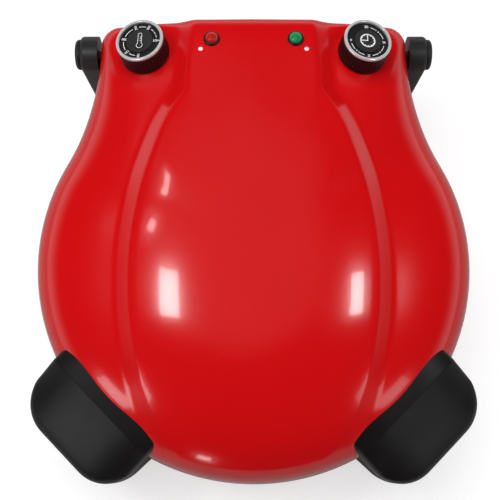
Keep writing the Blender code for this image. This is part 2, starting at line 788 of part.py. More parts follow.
def make_hinge_end(side, word, base, lid, black, steel):
    """The cap on an arm's head, the pin through it, and the bush that turns in the lid."""
    outer = arm_inner + arm_width + seat_gap
    groove = hinge_cap_groove
    cap_radius = barrel_radius - arm_chamfer
    cap = [(0.0, 0.0), (cap_radius, 0.0), (cap_radius, groove), (cap_radius - groove, groove),
           (cap_radius - groove, 2 * groove), (cap_radius, 2 * groove),
           (cap_radius, hinge_cap_length / 2), (0.8 * cap_radius, 0.9 * hinge_cap_length),
           (0.0, hinge_cap_length)]
    place = hinge_axis(side)
    cap = moved(turn(cap, 16), place @ Matrix.Translation((0.0, 0.0, outer)))
    add_piece("hinge_cap_" + word, cap, black, base)
    start = neck_half - hinge_boss_recess - hinge_boss_length
    pin = moved(rod(pin_radius, start, outer - seat_gap, 12), place)
    add_piece("hinge_pin_" + word, pin, steel, base)
    bore, end = pin_radius + pin_play, neck_half - bush_recess
    bush = [(bore, start), (bush_radius, start), (bush_radius, end), (bore, end)]
    add_piece("hinge_bush_" + word, moved(turn(bush, 12), place), steel, lid)


def knob_row(radius, z, depth=0.0):
    """A row round a knob, plain or with fine upright ribs."""
    count = 2 * knob_ribs if depth else knob_ribs
    row = []
    for i in range(count):
        angle = 2 * pi * i / count
        reach = radius - (depth if i % 2 else 0.0)
        row.append((reach * cos(angle), reach * sin(angle), z))
    return row


def make_knob(name, knob, black, chrome, face, grey, steel):
    """A ribbed skirt with a bright ring, a sunk dial and a small centre cap, on its shaft."""
    low, high = knob_lift, knob_lift + knob_height
    top = high - ring_height
    outer_ring = knob_radius - knob_rib_depth
    inner_ring = outer_ring - ring_width
    floor = high - dial_depth - dial_thickness - seat_gap
    bore, skirt = shaft_radius + seat_gap, outer_ring - knob_wall
    rows = [knob_row(knob_radius, low, knob_rib_depth),
            knob_row(knob_radius, top - ring_height, knob_rib_depth),
            knob_row(outer_ring, top - seat_gap), knob_row(inner_ring, top - seat_gap),
            knob_row(inner_ring, floor), knob_row(bore, floor),
            knob_row(bore, floor - knob_wall), knob_row(skirt, floor - knob_wall),
            knob_row(skirt, low)]
    add_piece(name + "_knob_grip", skin(rows, closed=True), black, knob, local=True)
    ring = [(inner_ring + seat_gap, top), (outer_ring, top),
            (outer_ring, top + 0.5 * ring_height), (outer_ring - 0.3 * ring_width, high),
            (outer_ring - 0.7 * ring_width, high), (inner_ring + seat_gap, top + 0.5 * ring_height)]
    add_piece(name + "_knob_ring", turn(ring, knob_ribs), chrome, knob, local=True)
    under = floor + seat_gap
    dial_edge = inner_ring - seat_gap
    dial = [(shaft_radius + seat_gap, under), (dial_edge, under),
            (dial_edge, under + dial_thickness), (shaft_radius + seat_gap, under + dial_thickness)]
    add_piece(name + "_knob_dial", turn(dial, knob_ribs), face, knob, local=True)
    base = under + dial_thickness + seat_gap
    cap = [(0.0, base), (dial_cap_radius, base), (dial_cap_radius, base + dial_cap_height / 2),
           (dial_cap_radius - dial_cap_height, base + dial_cap_height), (0.0, base + dial_cap_height)]
    add_piece(name + "_knob_cap", turn(cap, 24), grey, knob, local=True)
    shaft = rod(shaft_radius, -seat_depth, base - seat_gap, 14)
    add_piece(name + "_shaft", shaft, steel, knob, local=True)


def make_control(name, place, lid, dark):
    """The switch body under a knob: a round can with a collar against the lid's boss."""
    top = -seat_depth - seat_gap
    collar = shaft_radius + 2 * seat_gap + control_collar
    profile = [(0.0, top - control_height), (control_radius, top - control_height),
               (control_radius, top - control_collar / 2), (collar, top - control_collar / 2),
               (collar, top), (0.0, top)]
    return add_piece(name, moved(turn(profile, 16), place), dark, lid)


def make_lamp(name, word, place, lid, glass, black, white):
    """A domed lens in a bezel on the lid, with its holder pushed on from inside."""
    floor = -lamp_seat_depth + seat_gap
    bore = lamp_stem_radius + seat_gap
    brim = lamp_bezel_height
    bezel = [(bore, floor), (lamp_bezel_radius, floor), (lamp_bezel_radius, brim / 2),
             (lamp_bezel_radius - brim / 2, brim), (lamp_lens_radius + seat_gap, brim),
             (lamp_lens_radius + seat_gap, brim / 2), (bore, brim / 2)]
    add_piece(name + "_lamp_bezel", moved(turn(bezel, 12), place), black, lid)
    end = -shell_wall - lamp_holder_length / 2
    dome = [(lamp_lens_radius * cos(a), brim + 0.5 * lamp_lens_radius * sin(a))
            for a in (0.0, pi / 8, pi / 4, 3 * pi / 8)]
    lens = [(0.0, end), (lamp_stem_radius, end), (lamp_stem_radius, brim / 2 + seat_gap),
            (lamp_lens_radius, brim / 2 + seat_gap), *dome, (0.0, brim + 0.5 * lamp_lens_radius)]
    add_piece(name + "_lamp_lens", moved(turn(lens, 12), place), glass, lid)
    start = -shell_wall - 2 * seat_gap - lamp_slope_room
    foot = start - lamp_holder_length
    holder = [(0.0, foot), (bore + lamp_wall, foot), (bore + lamp_wall, start), (bore, start),
              (bore, end - seat_gap), (0.0, end - seat_gap)]
    add_piece(name + "_lamp_holder", moved(turn(holder, 12), place), white, lid)


def make_foot(name, x, y, base, rubber):
    top = base_floor_z - seat_gap
    profile = [(0.0, 0.0), (foot_radius - foot_bevel, 0.0), (foot_radius, foot_bevel),
               (foot_radius - foot_bevel, top), (0.0, top)]
    place = Matrix.Translation((x, y, 0.0))
    return add_piece(name, moved(turn(profile, 16), place), rubber, base)


def gland_frame():
    """A frame on the base's rear wall that looks out along +Y."""
    share = (gland_z - base_floor_z) / (deck_z - base_floor_z)
    (high, start), (low, end) = [pair for pair in base_levels_shares if pair[0] >= share][-1:] + [
        pair for pair in base_levels_shares if pair[0] < share][:1]
    along = (high - share) / (high - low)
    near, far = base_inset * start ** 2, base_inset * end ** 2
    tilt = atan2(far - near, (high - low) * (deck_z - base_floor_z))
    wall = base_rear_reach - near - (far - near) * along
    return Matrix.Translation((gland_x, wall, gland_z)) @ Matrix.Rotation(-pi / 2 - tilt, 4, "X")


def make_gland(base, black):
    """A bare bushing through the rear wall, for the mains lead."""
    inner = -shell_wall - overrun
    profile = [(gland_bore, inner), (gland_radius, inner), (gland_radius, seat_gap),
               (gland_flange, seat_gap), (gland_flange, seat_gap + gland_flange_thickness),
               (gland_radius, seat_gap + gland_flange_thickness),
               (gland_radius - overrun, gland_nose), (gland_bore, gland_nose)]
    return add_piece("cord_gland", moved(turn(profile, 12), gland_frame()), black, base)


def make_terminal_block(base, white):
    width, depth, height = terminal_size
    bm = bmesh.new()
    bmesh.ops.create_cube(bm, size=1.0)
    low = base_floor_z + shell_wall + seat_gap
    place = Matrix.Translation((*terminal_place, low + height / 2))
    bmesh.ops.transform(bm, matrix=place @ Matrix.Diagonal((width, depth, height, 1.0)),
                        verts=bm.verts)
    block = soften(add_piece("terminal_block", bm, white, base), terminal_bevel, 1)
    for i in range(terminal_poles):
        x = terminal_place[0] + width * ((i + 0.5) / terminal_poles - 0.5)
        hole = rod(terminal_pole_radius, low + height - terminal_pole_depth,
                   low + height + overrun, 12)
        spot = Matrix.Translation((x, terminal_place[1], 0.0))
        combine(block, add_piece("pole_hole_%d" % (i + 1), moved(hole, spot), white, base))
    return block


def build():
    clear_scene()
    red = finish("gloss_red", (0.60, 0.006, 0.008), 0.18)
    black = finish("satin_black", (0.02, 0.02, 0.021), 0.42)
    soft_black = finish("handle_black", (0.035, 0.035, 0.036), 0.36)
    chrome = finish("chrome", (0.82, 0.83, 0.84), 0.08, 1.0)
    steel = finish("bright_steel", (0.62, 0.62, 0.61), 0.3, 1.0)
    tube = finish("element_steel", (0.12, 0.115, 0.11), 0.5, 0.9)
    stone = finish("fired_stone", (0.62, 0.52, 0.40), 0.9)
    dial_face = finish("dial_black", (0.012, 0.012, 0.013), 0.5)
    dial_grey = finish("dial_grey", (0.16, 0.16, 0.16), 0.38)
    red_glass = finish("red_lens", (0.75, 0.02, 0.01), 0.08)
    green_glass = finish("green_lens", (0.01, 0.30, 0.05), 0.08)
    white = finish("white_ceramic", (0.75, 0.74, 0.70), 0.6)
    dark = finish("dark_resin", (0.05, 0.045, 0.04), 0.5)
    rubber = finish("foot_rubber", (0.03, 0.03, 0.03), 0.8)
    frame = add_empty("oven_frame", Matrix.Translation((0.0, chamber_shift, 0.0)))
    base = add_empty("base", Matrix.Identity(4), frame)
    lid = add_empty("lid_hinge", Matrix.Translation((0.0, hinge_y, hinge_z)), frame)

    make_base_shell(base, red)
    make_pan(base, steel)
    make_stone(base, stone)
    make_element("lower_element", lower_element_z, -1.0, base, tube)
    plate = neck_plate(base_outline, shell_wall + deck_play, pan_wall_radius + sheet + deck_play,
                       deck_z - deck_drop - deck_thickness, deck_z - deck_drop)
    add_piece("rear_deck", plate, black, base)
    make_gland(base, black)
    make_terminal_block(base, white)
    for along, row in ((-foot_place, "front"), (foot_rear_place, "rear")):
        for side, word in sides:
            make_foot("foot_%s_%s" % (row, word), side * foot_place, along, base, rubber)

    make_lid_shell(lid, red)
    make_reflector(lid, steel)
    make_element("upper_element", upper_element_z, 1.0, lid, tube)
    plate = neck_plate(lid_outline, shell_wall + cover_play, rim_radius - shell_wall + 2 * seat_gap,
                       lid_rim_z + deck_drop, lid_rim_z + deck_drop + deck_thickness)
    add_piece("control_cover", plate, black, lid)
    roof = lid_rim_z + flange_drop - sheet
    roof += reflector_lift((element_radius + clip_foot) / reflector_radius)
    for i, angle in enumerate(clip_angles):
        make_clip("upper_clip_%d" % (i + 1), angle, upper_element_z, roof, lid, steel)
        make_clip("lower_clip_%d" % (i + 1), angle, lower_element_z, pan_floor_z, base, steel)

    lid_fit, base_fit = grown_lid(lid), grown_base(base)
    for side, word in sides:
        make_handle("lid_handle_" + word, side, False, lid, soft_black, lid_fit)
        make_handle("base_handle_" + word, side, True, base, soft_black, base_fit)
        make_hinge_arm(side, word, base, black, base_fit)
        make_hinge_end(side, word, base, lid, black, steel)

    for side, name in ((-1.0, "thermostat"), (1.0, "timer")):
        place = seat_place(side * knob_x, knob_y, knob_lean_out, knob_lean_back)
        knob = add_empty(name + "_turn", drawn_place(lid).inverted() @ place, lid)
        make_knob(name, knob, black, chrome, dial_face, dial_grey, steel)
        make_control(name + "_body", place, lid, dark)
    for side, name, glass in ((-1.0, "power", red_glass), (1.0, "heat", green_glass)):
        place = seat_place(side * lamp_x, lamp_y, 0.0, lamp_lean_back)
        make_lamp(name, name, place, lid, glass, black, white)


build()
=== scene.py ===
import json
from math import asin, atan2, cos, exp, hypot, pi, radians, sin, sqrt

import bmesh
import bpy
from mathutils import Matrix, Vector
from mathutils.kdtree import KDTree


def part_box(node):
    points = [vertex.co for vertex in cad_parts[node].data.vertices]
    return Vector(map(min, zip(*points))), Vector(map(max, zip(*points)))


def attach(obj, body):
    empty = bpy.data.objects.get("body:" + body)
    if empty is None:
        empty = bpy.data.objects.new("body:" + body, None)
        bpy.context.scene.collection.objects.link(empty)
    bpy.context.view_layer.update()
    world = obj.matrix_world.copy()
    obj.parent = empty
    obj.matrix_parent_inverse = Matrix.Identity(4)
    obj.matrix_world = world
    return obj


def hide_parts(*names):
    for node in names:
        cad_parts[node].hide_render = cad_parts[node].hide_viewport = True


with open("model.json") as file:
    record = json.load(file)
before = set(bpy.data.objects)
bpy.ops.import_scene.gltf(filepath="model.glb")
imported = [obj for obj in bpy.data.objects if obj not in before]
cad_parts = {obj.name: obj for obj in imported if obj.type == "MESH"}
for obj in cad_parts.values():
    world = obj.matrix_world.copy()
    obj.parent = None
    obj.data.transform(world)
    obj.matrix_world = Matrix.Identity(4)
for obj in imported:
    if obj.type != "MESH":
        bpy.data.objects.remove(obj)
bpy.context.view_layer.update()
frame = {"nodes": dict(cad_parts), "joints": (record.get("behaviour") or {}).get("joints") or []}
nodes = frame["nodes"]
joints = {joint["name"]: joint for joint in frame["joints"]}

mm = 0.001
sides = ((-1, "left"), (1, "right"))
ovenShift = -10.0 * mm          # the drawing's middle is the stone, the frame's is the whole oven


# Small tools

# A socket in a Python expression: every operator adds the Math node that it stands for
class Tap:
    def __init__(self, finish, socket):
        self.finish, self.socket = finish, socket

    def maths(self, operation, first, second=0.0):
        return self.finish.node("ShaderNodeMath", {"operation": operation}, {0: first, 1: second})

    def __add__(self, other):
        return self.maths("ADD", self, other)

    def __radd__(self, other):
        return self.maths("ADD", other, self)

    def __sub__(self, other):
        return self.maths("SUBTRACT", self, other)

    def __rsub__(self, other):
        return self.maths("SUBTRACT", other, self)

    def __mul__(self, other):
        return self.maths("MULTIPLY", self, other)

    def __rmul__(self, other):
        return self.maths("MULTIPLY", other, self)

    def __truediv__(self, other):
        return self.maths("DIVIDE", self, other)

    def capped(self):
        return self.maths("MINIMUM", self, 1.0)


# A material, or the world, and the nodes it is made of
class Finish:
    def __init__(self, name, owner=None, **fixed):
        self.owner = owner or bpy.data.materials.new(name)
        self.owner.use_nodes = True
        self.tree = self.owner.node_tree
        self.shader = self.tree.nodes.get("Principled BSDF")
        for key, value in fixed.items():
            self.shader.inputs[socketNames[key]].default_value = value

    # Any node: its type, its settings, then the values or links of its sockets
    def node(self, kind, settings, sockets, out=0):
        made = self.tree.nodes.new(kind)
        for key, value in settings.items():
            setattr(made, key, value)
        for key, value in sockets.items():
            self.join(value, made.inputs[key])
        return Tap(self, made.outputs[out])

    def join(self, value, target):
        if isinstance(value, Tap):
            self.tree.links.new(value.socket, target)
        else:
            target.default_value = value

    def feed(self, **sockets):
        for key, value in sockets.items():
            self.join(value, self.shader.inputs[socketNames[key]])
        return self.owner

    def place(self, stretch=(1.0, 1.0, 1.0)):
        coords = self.node("ShaderNodeTexCoord", {}, {}, "Object")
        return self.node("ShaderNodeMapping", {}, {"Vector": coords, "Scale": stretch})

    def noise(self, size, detail=3.0, roughness=0.5, stretch=(1.0, 1.0, 1.0)):
        return self.node("ShaderNodeTexNoise", {}, {
            "Vector": self.place(stretch), "Scale": 1.0 / size, "Detail": detail,
            "Roughness": roughness})

    def cells(self, size):
        return self.node("ShaderNodeTexVoronoi", {}, {"Vector": self.place(), "Scale": 1.0 / size})

    # How a value runs from 0 at low to 1 at high
    def ramp(self, value, low, high):
        return self.node("ShaderNodeMapRange", {"interpolation_type": "SMOOTHSTEP"}, {
            0: value, 1: low, 2: high})

    def shade(self, share, first, second):
        return self.node("ShaderNodeMix", {"data_type": "RGBA"}, {
            0: share, 6: first, 7: second}, 2)

    def bump(self, height, depth):
        return self.node("ShaderNodeBump", {}, {"Height": height, "Distance": depth, "Strength": 1.0})


socketNames = {
    "colour": "Base Color", "roughness": "Roughness", "metal": "Metallic", "normal": "Normal",
    "coat": "Coat Weight", "coatRoughness": "Coat Roughness", "gloss": "Specular IOR Level",
    "glow": "Emission Color", "glowStrength": "Emission Strength",
}


def tint(red, green, blue):
    return (red, green, blue, 1.0)


# Smooth step from 0 at low to 1 at high
def ease(value, low, high):
    share = min(max((value - low) / (high - low), 0.0), 1.0)
    return share * share * (3.0 - 2.0 * share)


# 0 to 1 in a straight line, with its two corners rounded
def softRamp(value, corner):
    if value > 0.5:
        return 1.0 - softRamp(1.0 - value, corner)
    if value < corner:
        return max(value + corner, 0.0) ** 2 / (4.0 * corner)
    return value


# A ring of points about Z, each as far out as its angle asks
def ringOf(reachAt, count, z):
    turns = [2 * pi * i / count for i in range(count)]
    return [(reachAt(turn) * cos(turn), reachAt(turn) * sin(turn), z) for turn in turns]


def circle(radius, count, z):
    return ringOf(lambda turn: radius, count, z)


# An arc of (x, z) about a middle, both ends included
def arc(x, z, radius, start, end, count):
    return [(x + radius * cos(start + (end - start) * i / count),
             z + radius * sin(start + (end - start) * i / count)) for i in range(count + 1)]


# Quads over rows of points. A row of one point is a pole
def skin(rows, wrap=False, caps=False):
    bm = bmesh.new()
    made = [[bm.verts.new(point) for point in row] for row in rows]
    pairs = list(zip(made, made[1:]))
    if wrap:
        pairs.append((made[-1], made[0]))
    for low, high in pairs:
        count = max(len(low), len(high))
        for i in range(count):
            corners = [low[i % len(low)], low[(i + 1) % len(low)],
                       high[(i + 1) % len(high)], high[i % len(high)]]
            kept = list(dict.fromkeys(corners))
            if len(kept) > 2:
                bm.faces.new(kept)
    if caps:
        bm.faces.new(made[0])
        bm.faces.new(made[-1])
    return bm


# A profile of (radius, z) turned round Z. One that starts or ends on the axis is closed there
def turned(profile, count=64):
    rows = [[(0.0, 0.0, z)] if radius == 0.0 else circle(radius, count, z) for radius, z in profile]
    return skin(rows, wrap=profile[0][0] > 0.0 and profile[-1][0] > 0.0)


def moved(bm, place):
    bmesh.ops.transform(bm, matrix=place, verts=bm.verts)
    return bm


def gathered(forms):
    whole, mesh = bmesh.new(), bpy.data.meshes.new("gathered")
    for form in forms:
        form.to_mesh(mesh)
        whole.from_mesh(mesh)
        form.free()
    bpy.data.meshes.remove(mesh)
    return whole


# A mesh as a piece of the oven: where it stands, what it rides on and what it stands for
def addPiece(name, bm, finish, body, stands=(), place=None, sharp=35.0):
    bmesh.ops.recalc_face_normals(bm, faces=bm.faces)
    mesh = bpy.data.meshes.new(name)
    bm.to_mesh(mesh)
    bm.free()
    mesh.shade_smooth()
    mesh.set_sharp_from_angle(angle=radians(sharp))
    mesh.materials.append(finish)
    piece = bpy.data.objects.new(name, mesh)
    bpy.context.scene.collection.objects.link(piece)
    piece.matrix_world = place or Matrix.Translation((0.0, ovenShift, 0.0))
    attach(piece, body)
    if stands:
        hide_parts(*stands)


# A CAD node that stays, with a better finish
def finishNode(name, finish, bevel=0.0):
    node = nodes[name]
    node.data.materials.clear()
    node.data.materials.append(finish)
    if bevel:
        rounded = node.modifiers.new("rounded", "BEVEL")
        rounded.width, rounded.segments, rounded.limit_method = bevel, 2, "ANGLE"


# The low and high corners of a CAD node
def cornersOf(name):
    return [Vector(corner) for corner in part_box(name)]


# Camera, backdrop and light
camera = {"lens": 64.8, "place": (-2.9 * mm, -171.1 * mm, 801.4 * mm), "tilt": radians(13.6)}


def makeCamera():
    data = bpy.data.cameras.new("camera")
    data.lens, data.sensor_width = camera["lens"], 36.0
    data.clip_start, data.clip_end = 0.01, 20.0
    made = bpy.data.objects.new("camera", data)
    made.location, made.rotation_euler = camera["place"], (camera["tilt"], 0.0, 0.0)
    bpy.context.scene.collection.objects.link(made)
    bpy.context.scene.camera = made


studio = {
    "wall": (1.0, 1.0, 1.0),               # the pale room at eye height
    "ceiling": (0.025, 0.025, 0.027),      # what the top of a glossy lid shows
    "frontStart": 0.55, "frontEnd": 0.85,  # the room is dark towards the front
    "roomStart": 0.05, "roomEnd": 0.40,
    "roomLight": 0.62,
    "fill": 2.35,                          # light through a large cloth overhead
    "fillSize": radians(50.0),
    "fillTilt": (radians(-14.0), radians(-6.0), 0.0),
    "boxes": (                             # place, size and power of each soft box
        ((-0.44, 0.03, 0.95), (0.20, 0.12), 1.7),
        ((0.585, 0.03, 0.95), (0.19, 0.085), 1.2),
        ((-0.58, 0.325, 0.95), (0.05, 0.05), 0.14),
        ((-0.374, -1.304, 0.284), (0.12, 0.08), 0.35),
        ((-0.89, -0.65, 0.72), (0.26, 0.22), 0.90),
        ((0.89, -0.65, 0.72), (0.26, 0.22), 0.45),
    ),
    "aim": (0.0, -0.02, 0.10),
    "floorReach": 6.0,
    "floorGlow": 0.62,
}


# The room is white to the camera. To the oven it is pale low down and dim overhead
def makeWorld():
    world = bpy.data.worlds.new("studio")
    bpy.context.scene.world = world
    room = Finish("studio", world)
    output, background = (room.tree.nodes[name] for name in ("World Output", "Background"))
    ray = room.node("ShaderNodeTexCoord", {}, {}, "Generated")
    height = room.node("ShaderNodeSeparateXYZ", {}, {"Vector": ray}, "Z")
    dim = room.ramp(height, studio["roomStart"], studio["roomEnd"])
    forward = room.node("ShaderNodeSeparateXYZ", {}, {"Vector": ray}, "Y") * -1.0
    front = room.ramp(forward, studio["frontStart"], studio["frontEnd"])
    seen = room.shade((dim + front).capped(), tint(*studio["wall"]), tint(*studio["ceiling"]))
    camRay, gloss, through = (room.node("ShaderNodeLightPath", {}, {}, name) for name in (
        "Is Camera Ray", "Is Glossy Ray", "Is Transmission Ray"))
    direct = (camRay + through).capped()
    shown = room.shade(direct, seen, tint(1.0, 1.0, 1.0))
    strength = (direct + gloss).capped() * (1.0 - studio["roomLight"]) + studio["roomLight"]
    room.join(shown, background.inputs["Color"])
    room.join(strength, background.inputs["Strength"])
    room.tree.links.new(background.outputs[0], output.inputs[0])


def makeLights():
    sun = bpy.data.lights.new("fill", "SUN")
    sun.energy, sun.angle = studio["fill"], studio["fillSize"]
    fill = bpy.data.objects.new("fill", sun)
    fill.rotation_euler = studio["fillTilt"]
    fill.visible_glossy = False
    bpy.context.scene.collection.objects.link(fill)
    for i, (place, size, power) in enumerate(studio["boxes"]):
        data = bpy.data.lights.new("softBox%d" % (i + 1), "AREA")
        data.shape, data.size, data.size_y, data.energy = "RECTANGLE", size[0], size[1], power
        box = bpy.data.objects.new("softBox%d" % (i + 1), data)
        box.location = place
        look = Vector(studio["aim"]) - Vector(place)
        box.rotation_euler = look.to_track_quat("-Z", "Y").to_euler()
        bpy.context.scene.collection.objects.link(box)


# A pale floor that shows white where it is lit, and keeps the oven's shadow
def makeFloor():
    pale = Finish("paleFloor", roughness=0.9, gloss=0.1)
    camRay = pale.node("ShaderNodeLightPath", {}, {}, "Is Camera Ray")
    mesh = bpy.data.meshes.new("floor")
    reach = studio["floorReach"]
    mesh.from_pydata([(-reach, -reach, 0), (reach, -reach, 0), (reach, reach, 0), (-reach, reach, 0)],
                     [], [(0, 1, 2, 3)])
    grain = pale.noise(0.04, 4.0)
    pale.feed(colour=pale.shade(grain, tint(0.44, 0.44, 0.44), tint(0.46, 0.46, 0.46)),
              glow=pale.shade(camRay, tint(0.0, 0.0, 0.0), tint(1.0, 1.0, 1.0)),
              glowStrength=studio["floorGlow"])
    mesh.materials.append(pale.owner)
    floor = bpy.data.objects.new("floor", mesh)
    bpy.context.scene.collection.objects.link(floor)


bpy.context.scene.view_settings.view_transform = "Standard"
makeCamera()
makeWorld()
makeLights()
makeFloor()
print("studio: camera, room, lights and floor")


# Finishes
def redGloss():
    red = Finish("redGloss", gloss=0.4, coat=0.35, coatRoughness=0.05)
    drift = red.noise(0.11, 2.0)
    grain = red.noise(0.004, 4.0)
    peel = red.noise(0.009, 2.0)
    return red.feed(
        colour=red.shade(drift, tint(0.585, 0.0025, 0.004), tint(0.625, 0.0042, 0.0058)),
        roughness=0.14 + grain * 0.05 + drift * 0.03,
        normal=red.bump(peel, 0.02 * mm))


def satinBlack(name, colour, rough, grainSize, grainDepth, sheen):
    black = Finish(name, gloss=sheen)
    grain = black.noise(grainSize, 6.0, 0.6)
    wear = black.noise(0.03, 3.0)
    paler = tuple(1.5 * part for part in colour)
    return black.feed(
        colour=black.shade(black.ramp(wear, 0.35, 0.75), tint(*colour), tint(*paler)),
        roughness=rough - 0.04 + grain * 0.10,
        normal=black.bump(grain, grainDepth))


def chromePlate():
    chrome = Finish("chromePlate", metal=0.45)
    haze = chrome.noise(0.006, 3.0)
    return chrome.feed(colour=chrome.shade(haze, tint(0.80, 0.81, 0.83), tint(0.88, 0.885, 0.89)),
                       roughness=0.12 + haze * 0.07)


# Spun or rolled sheet: fine rings about the oven's middle, or grain along X
def brightSteel(name, spun, rough=0.24, shades=((0.56, 0.56, 0.55), (0.70, 0.70, 0.69))):
    steel = Finish(name, metal=1.0)
    haze = steel.noise(0.02, 4.0)
    if spun:
        rings = steel.node("ShaderNodeTexWave", {
            "wave_type": "RINGS", "rings_direction": "Z"}, {
            "Vector": steel.place(), "Scale": 260.0, "Distortion": 1.2, "Detail": 3.0})
    else:
        rings = steel.noise(0.0012, 3.0, 0.6, (0.03, 1.0, 1.0))
    return steel.feed(
        colour=steel.shade(haze, tint(*shades[0]), tint(*shades[1])),
        roughness=rough + rings * 0.10 + haze * 0.06,
        normal=steel.bump(rings, 0.02 * mm))


def heaterSheath():
    sheath = Finish("heaterSheath", metal=0.85)
    blue = sheath.ramp(sheath.noise(0.05, 2.0), 0.3, 0.7)
    scale = sheath.noise(0.003, 5.0, 0.7)
    return sheath.feed(
        colour=sheath.shade(blue, tint(0.115, 0.105, 0.10), tint(0.16, 0.15, 0.155)),
        roughness=0.38 + scale * 0.25, normal=sheath.bump(scale, 0.05 * mm))


# Fired stone: pale clay with small dark and light grains
def firedStone():
    stone = Finish("firedStone", gloss=0.25)
    clay = stone.noise(0.07, 4.0)
    grit = stone.cells(0.0024)
    speck = stone.ramp(stone.noise(0.0016, 2.0), 0.60, 0.72)
    chalk = stone.ramp(stone.noise(0.0022, 2.0, 0.5, (1.0, 1.1, 1.2)), 0.62, 0.74)
    body = stone.shade(clay, tint(0.60, 0.50, 0.375), tint(0.67, 0.575, 0.45))
    dark = stone.shade(speck, body, tint(0.36, 0.27, 0.19))
    return stone.feed(
        colour=stone.shade(chalk, dark, tint(0.80, 0.74, 0.64)),
        roughness=0.82 + clay * 0.12,
        normal=stone.bump(stone.noise(0.0011, 5.0, 0.7) + grit * 0.4, 0.16 * mm))


# Lamp lenses: the facet cells are real relief in bump and roughness; their pale and deep tones are
# painted glints and painted shade inside the glass
def lampGlass(name, deep, pale):
    glass = Finish(name, gloss=0.6, coat=0.5, coatRoughness=0.03)
    facetsAndGlints = glass.cells(0.0016)
    return glass.feed(colour=glass.shade(facetsAndGlints, tint(*pale), tint(*deep)),
                      roughness=0.10 + facetsAndGlints * 0.06, normal=glass.bump(facetsAndGlints, 0.06 * mm))


def ceramic(name, first, second, rough):
    clay = Finish(name, gloss=0.35)
    cloud = clay.noise(0.012, 4.0)
    return clay.feed(colour=clay.shade(cloud, tint(*first), tint(*second)),
                     roughness=rough + cloud * 0.12,
                     normal=clay.bump(clay.noise(0.0012, 4.0), 0.03 * mm))


def footRubber():
    rubber = Finish("footRubber", gloss=0.3)
    dust = rubber.ramp(rubber.noise(0.009, 5.0, 0.65), 0.45, 0.75)
    return rubber.feed(colour=rubber.shade(dust, tint(0.022, 0.022, 0.022), tint(0.05, 0.049, 0.047)),
                       roughness=0.72 + dust * 0.16,
                       normal=rubber.bump(rubber.noise(0.0008, 4.0), 0.05 * mm))


def whitePrint():
    ink = Finish("whitePrint", gloss=0.3)
    cover = ink.noise(0.0012, 3.0)
    return ink.feed(colour=ink.shade(cover, tint(0.78, 0.78, 0.77), tint(0.90, 0.90, 0.89)),
                    roughness=0.42 + cover * 0.15)


red = redGloss()
hingeBlack = satinBlack("hingeBlack", (0.014, 0.014, 0.0135), 0.42, 0.0013, 0.03 * mm, 0.5)
gripBlack = satinBlack("gripBlack", (0.006, 0.005, 0.005), 0.34, 0.0010, 0.02 * mm, 0.3)
dialBlack = satinBlack("dialBlack", (0.010, 0.010, 0.011), 0.46, 0.0009, 0.012 * mm, 0.4)
dialGrey = satinBlack("dialGrey", (0.022, 0.022, 0.023), 0.36, 0.0012, 0.012 * mm, 0.5)
lampBlack = satinBlack("lampBlack", (0.010, 0.008, 0.008), 0.30, 0.0011, 0.01 * mm, 0.5)
darkResin = satinBlack("darkResin", (0.040, 0.035, 0.030), 0.50, 0.0016, 0.04 * mm, 0.4)
plateBlack = satinBlack("plateBlack", (0.016, 0.016, 0.016), 0.46, 0.0014, 0.04 * mm, 0.5)
chrome = chromePlate()
spunSteel = brightSteel("spunSteel", True)
panSteel = brightSteel("panSteel", True, 0.30, ((0.44, 0.44, 0.43), (0.58, 0.58, 0.56)))
plainSteel = brightSteel("plainSteel", False)
screwSteel = brightSteel("screwSteel", False, 0.30, ((0.40, 0.40, 0.39), (0.52, 0.52, 0.50)))
sheath = heaterSheath()
stone = firedStone()
redGlass = lampGlass("redGlass", (0.22, 0.002, 0.001), (0.72, 0.015, 0.008))
greenGlass = lampGlass("greenGlass", (0.004, 0.14, 0.035), (0.012, 0.36, 0.13))
whiteCeramic = ceramic("whiteCeramic", (0.70, 0.69, 0.65), (0.80, 0.79, 0.76), 0.50)
rubber = footRubber()
ink = whitePrint()
print("finishes: %d" % len(bpy.data.materials))


# The housings: plan, heights and the form of the lid. They are the solids' own, but for the
# swell beside the crease and the panel's edge near the knobs, which only the looks have
plan = {
    "rim": 173.5 * mm, "neckHalf": 126.5 * mm, "sweep": 220.0 * mm,
    "rear": 193.5 * mm, "corner": 14.0 * mm, "wall": 2.5 * mm,
    "arcSteps": 64, "sweepSteps": 30, "cornerSteps": 10, "rearSteps": 60,
}
dome = {
    "rimZ": 85.0 * mm, "height": 58.0 * mm, "lip": 0.8 * mm,
    "rearFall": 0.035, "rearFallRun": 81.5 * mm, "rearFallBlend": 20.0 * mm,
    "sideFall": 0.12, "sideFallEnd": 162.0 * mm,
    "frontRoundness": 0.34, "rearRoundness": 0.07, "roundnessTurn": (0.64 * pi, 0.88 * pi),
    "tongueHalf": 48.0 * mm, "tongueLift": 8.0 * mm, "frontLift": 0.35, "rearLift": 0.6,
    "tongueBulge": 7.5 * mm, "bulgeReach": 88.0 * mm, "bulgeCorner": 0.08, "rearFlat": 0.85,
    "band": 13.0 * mm, "bandCorner": 0.16, "swell": 1.2 * mm, "swellRun": 12.0 * mm,
    # from where to where along Y, as shares of the rim
    "liftGrows": (-0.9, -0.3), "neckStart": 0.3, "liftFalls": 0.5, "swellFades": (0.2, 0.5),
    # a line of the section: the rings of its crown, band and wall, and where these parts end
    "outerRings": (16, 12, 40), "innerRings": (4, 3, 8), "crownEnd": 0.94, "bandEnd": 0.97,
    "bandPast": 1.25, "wallStart": 0.9, "rearEnds": (0.42, 0.62), "rearTurn": (0.66 * pi, 0.8 * pi),
}
tongueShares = (
    (0.0, -0.951), (0.127, -0.942), (0.245, -0.918), (0.300, -0.892), (0.337, -0.853),
    (0.406, -0.738), (0.470, -0.576), (0.513, -0.360), (0.530, -0.190), (0.527, 0.030),
    (0.490, 0.282), (0.4265, 0.484), (0.370, 0.620), (0.322, 0.745), (0.298, 0.850),
)
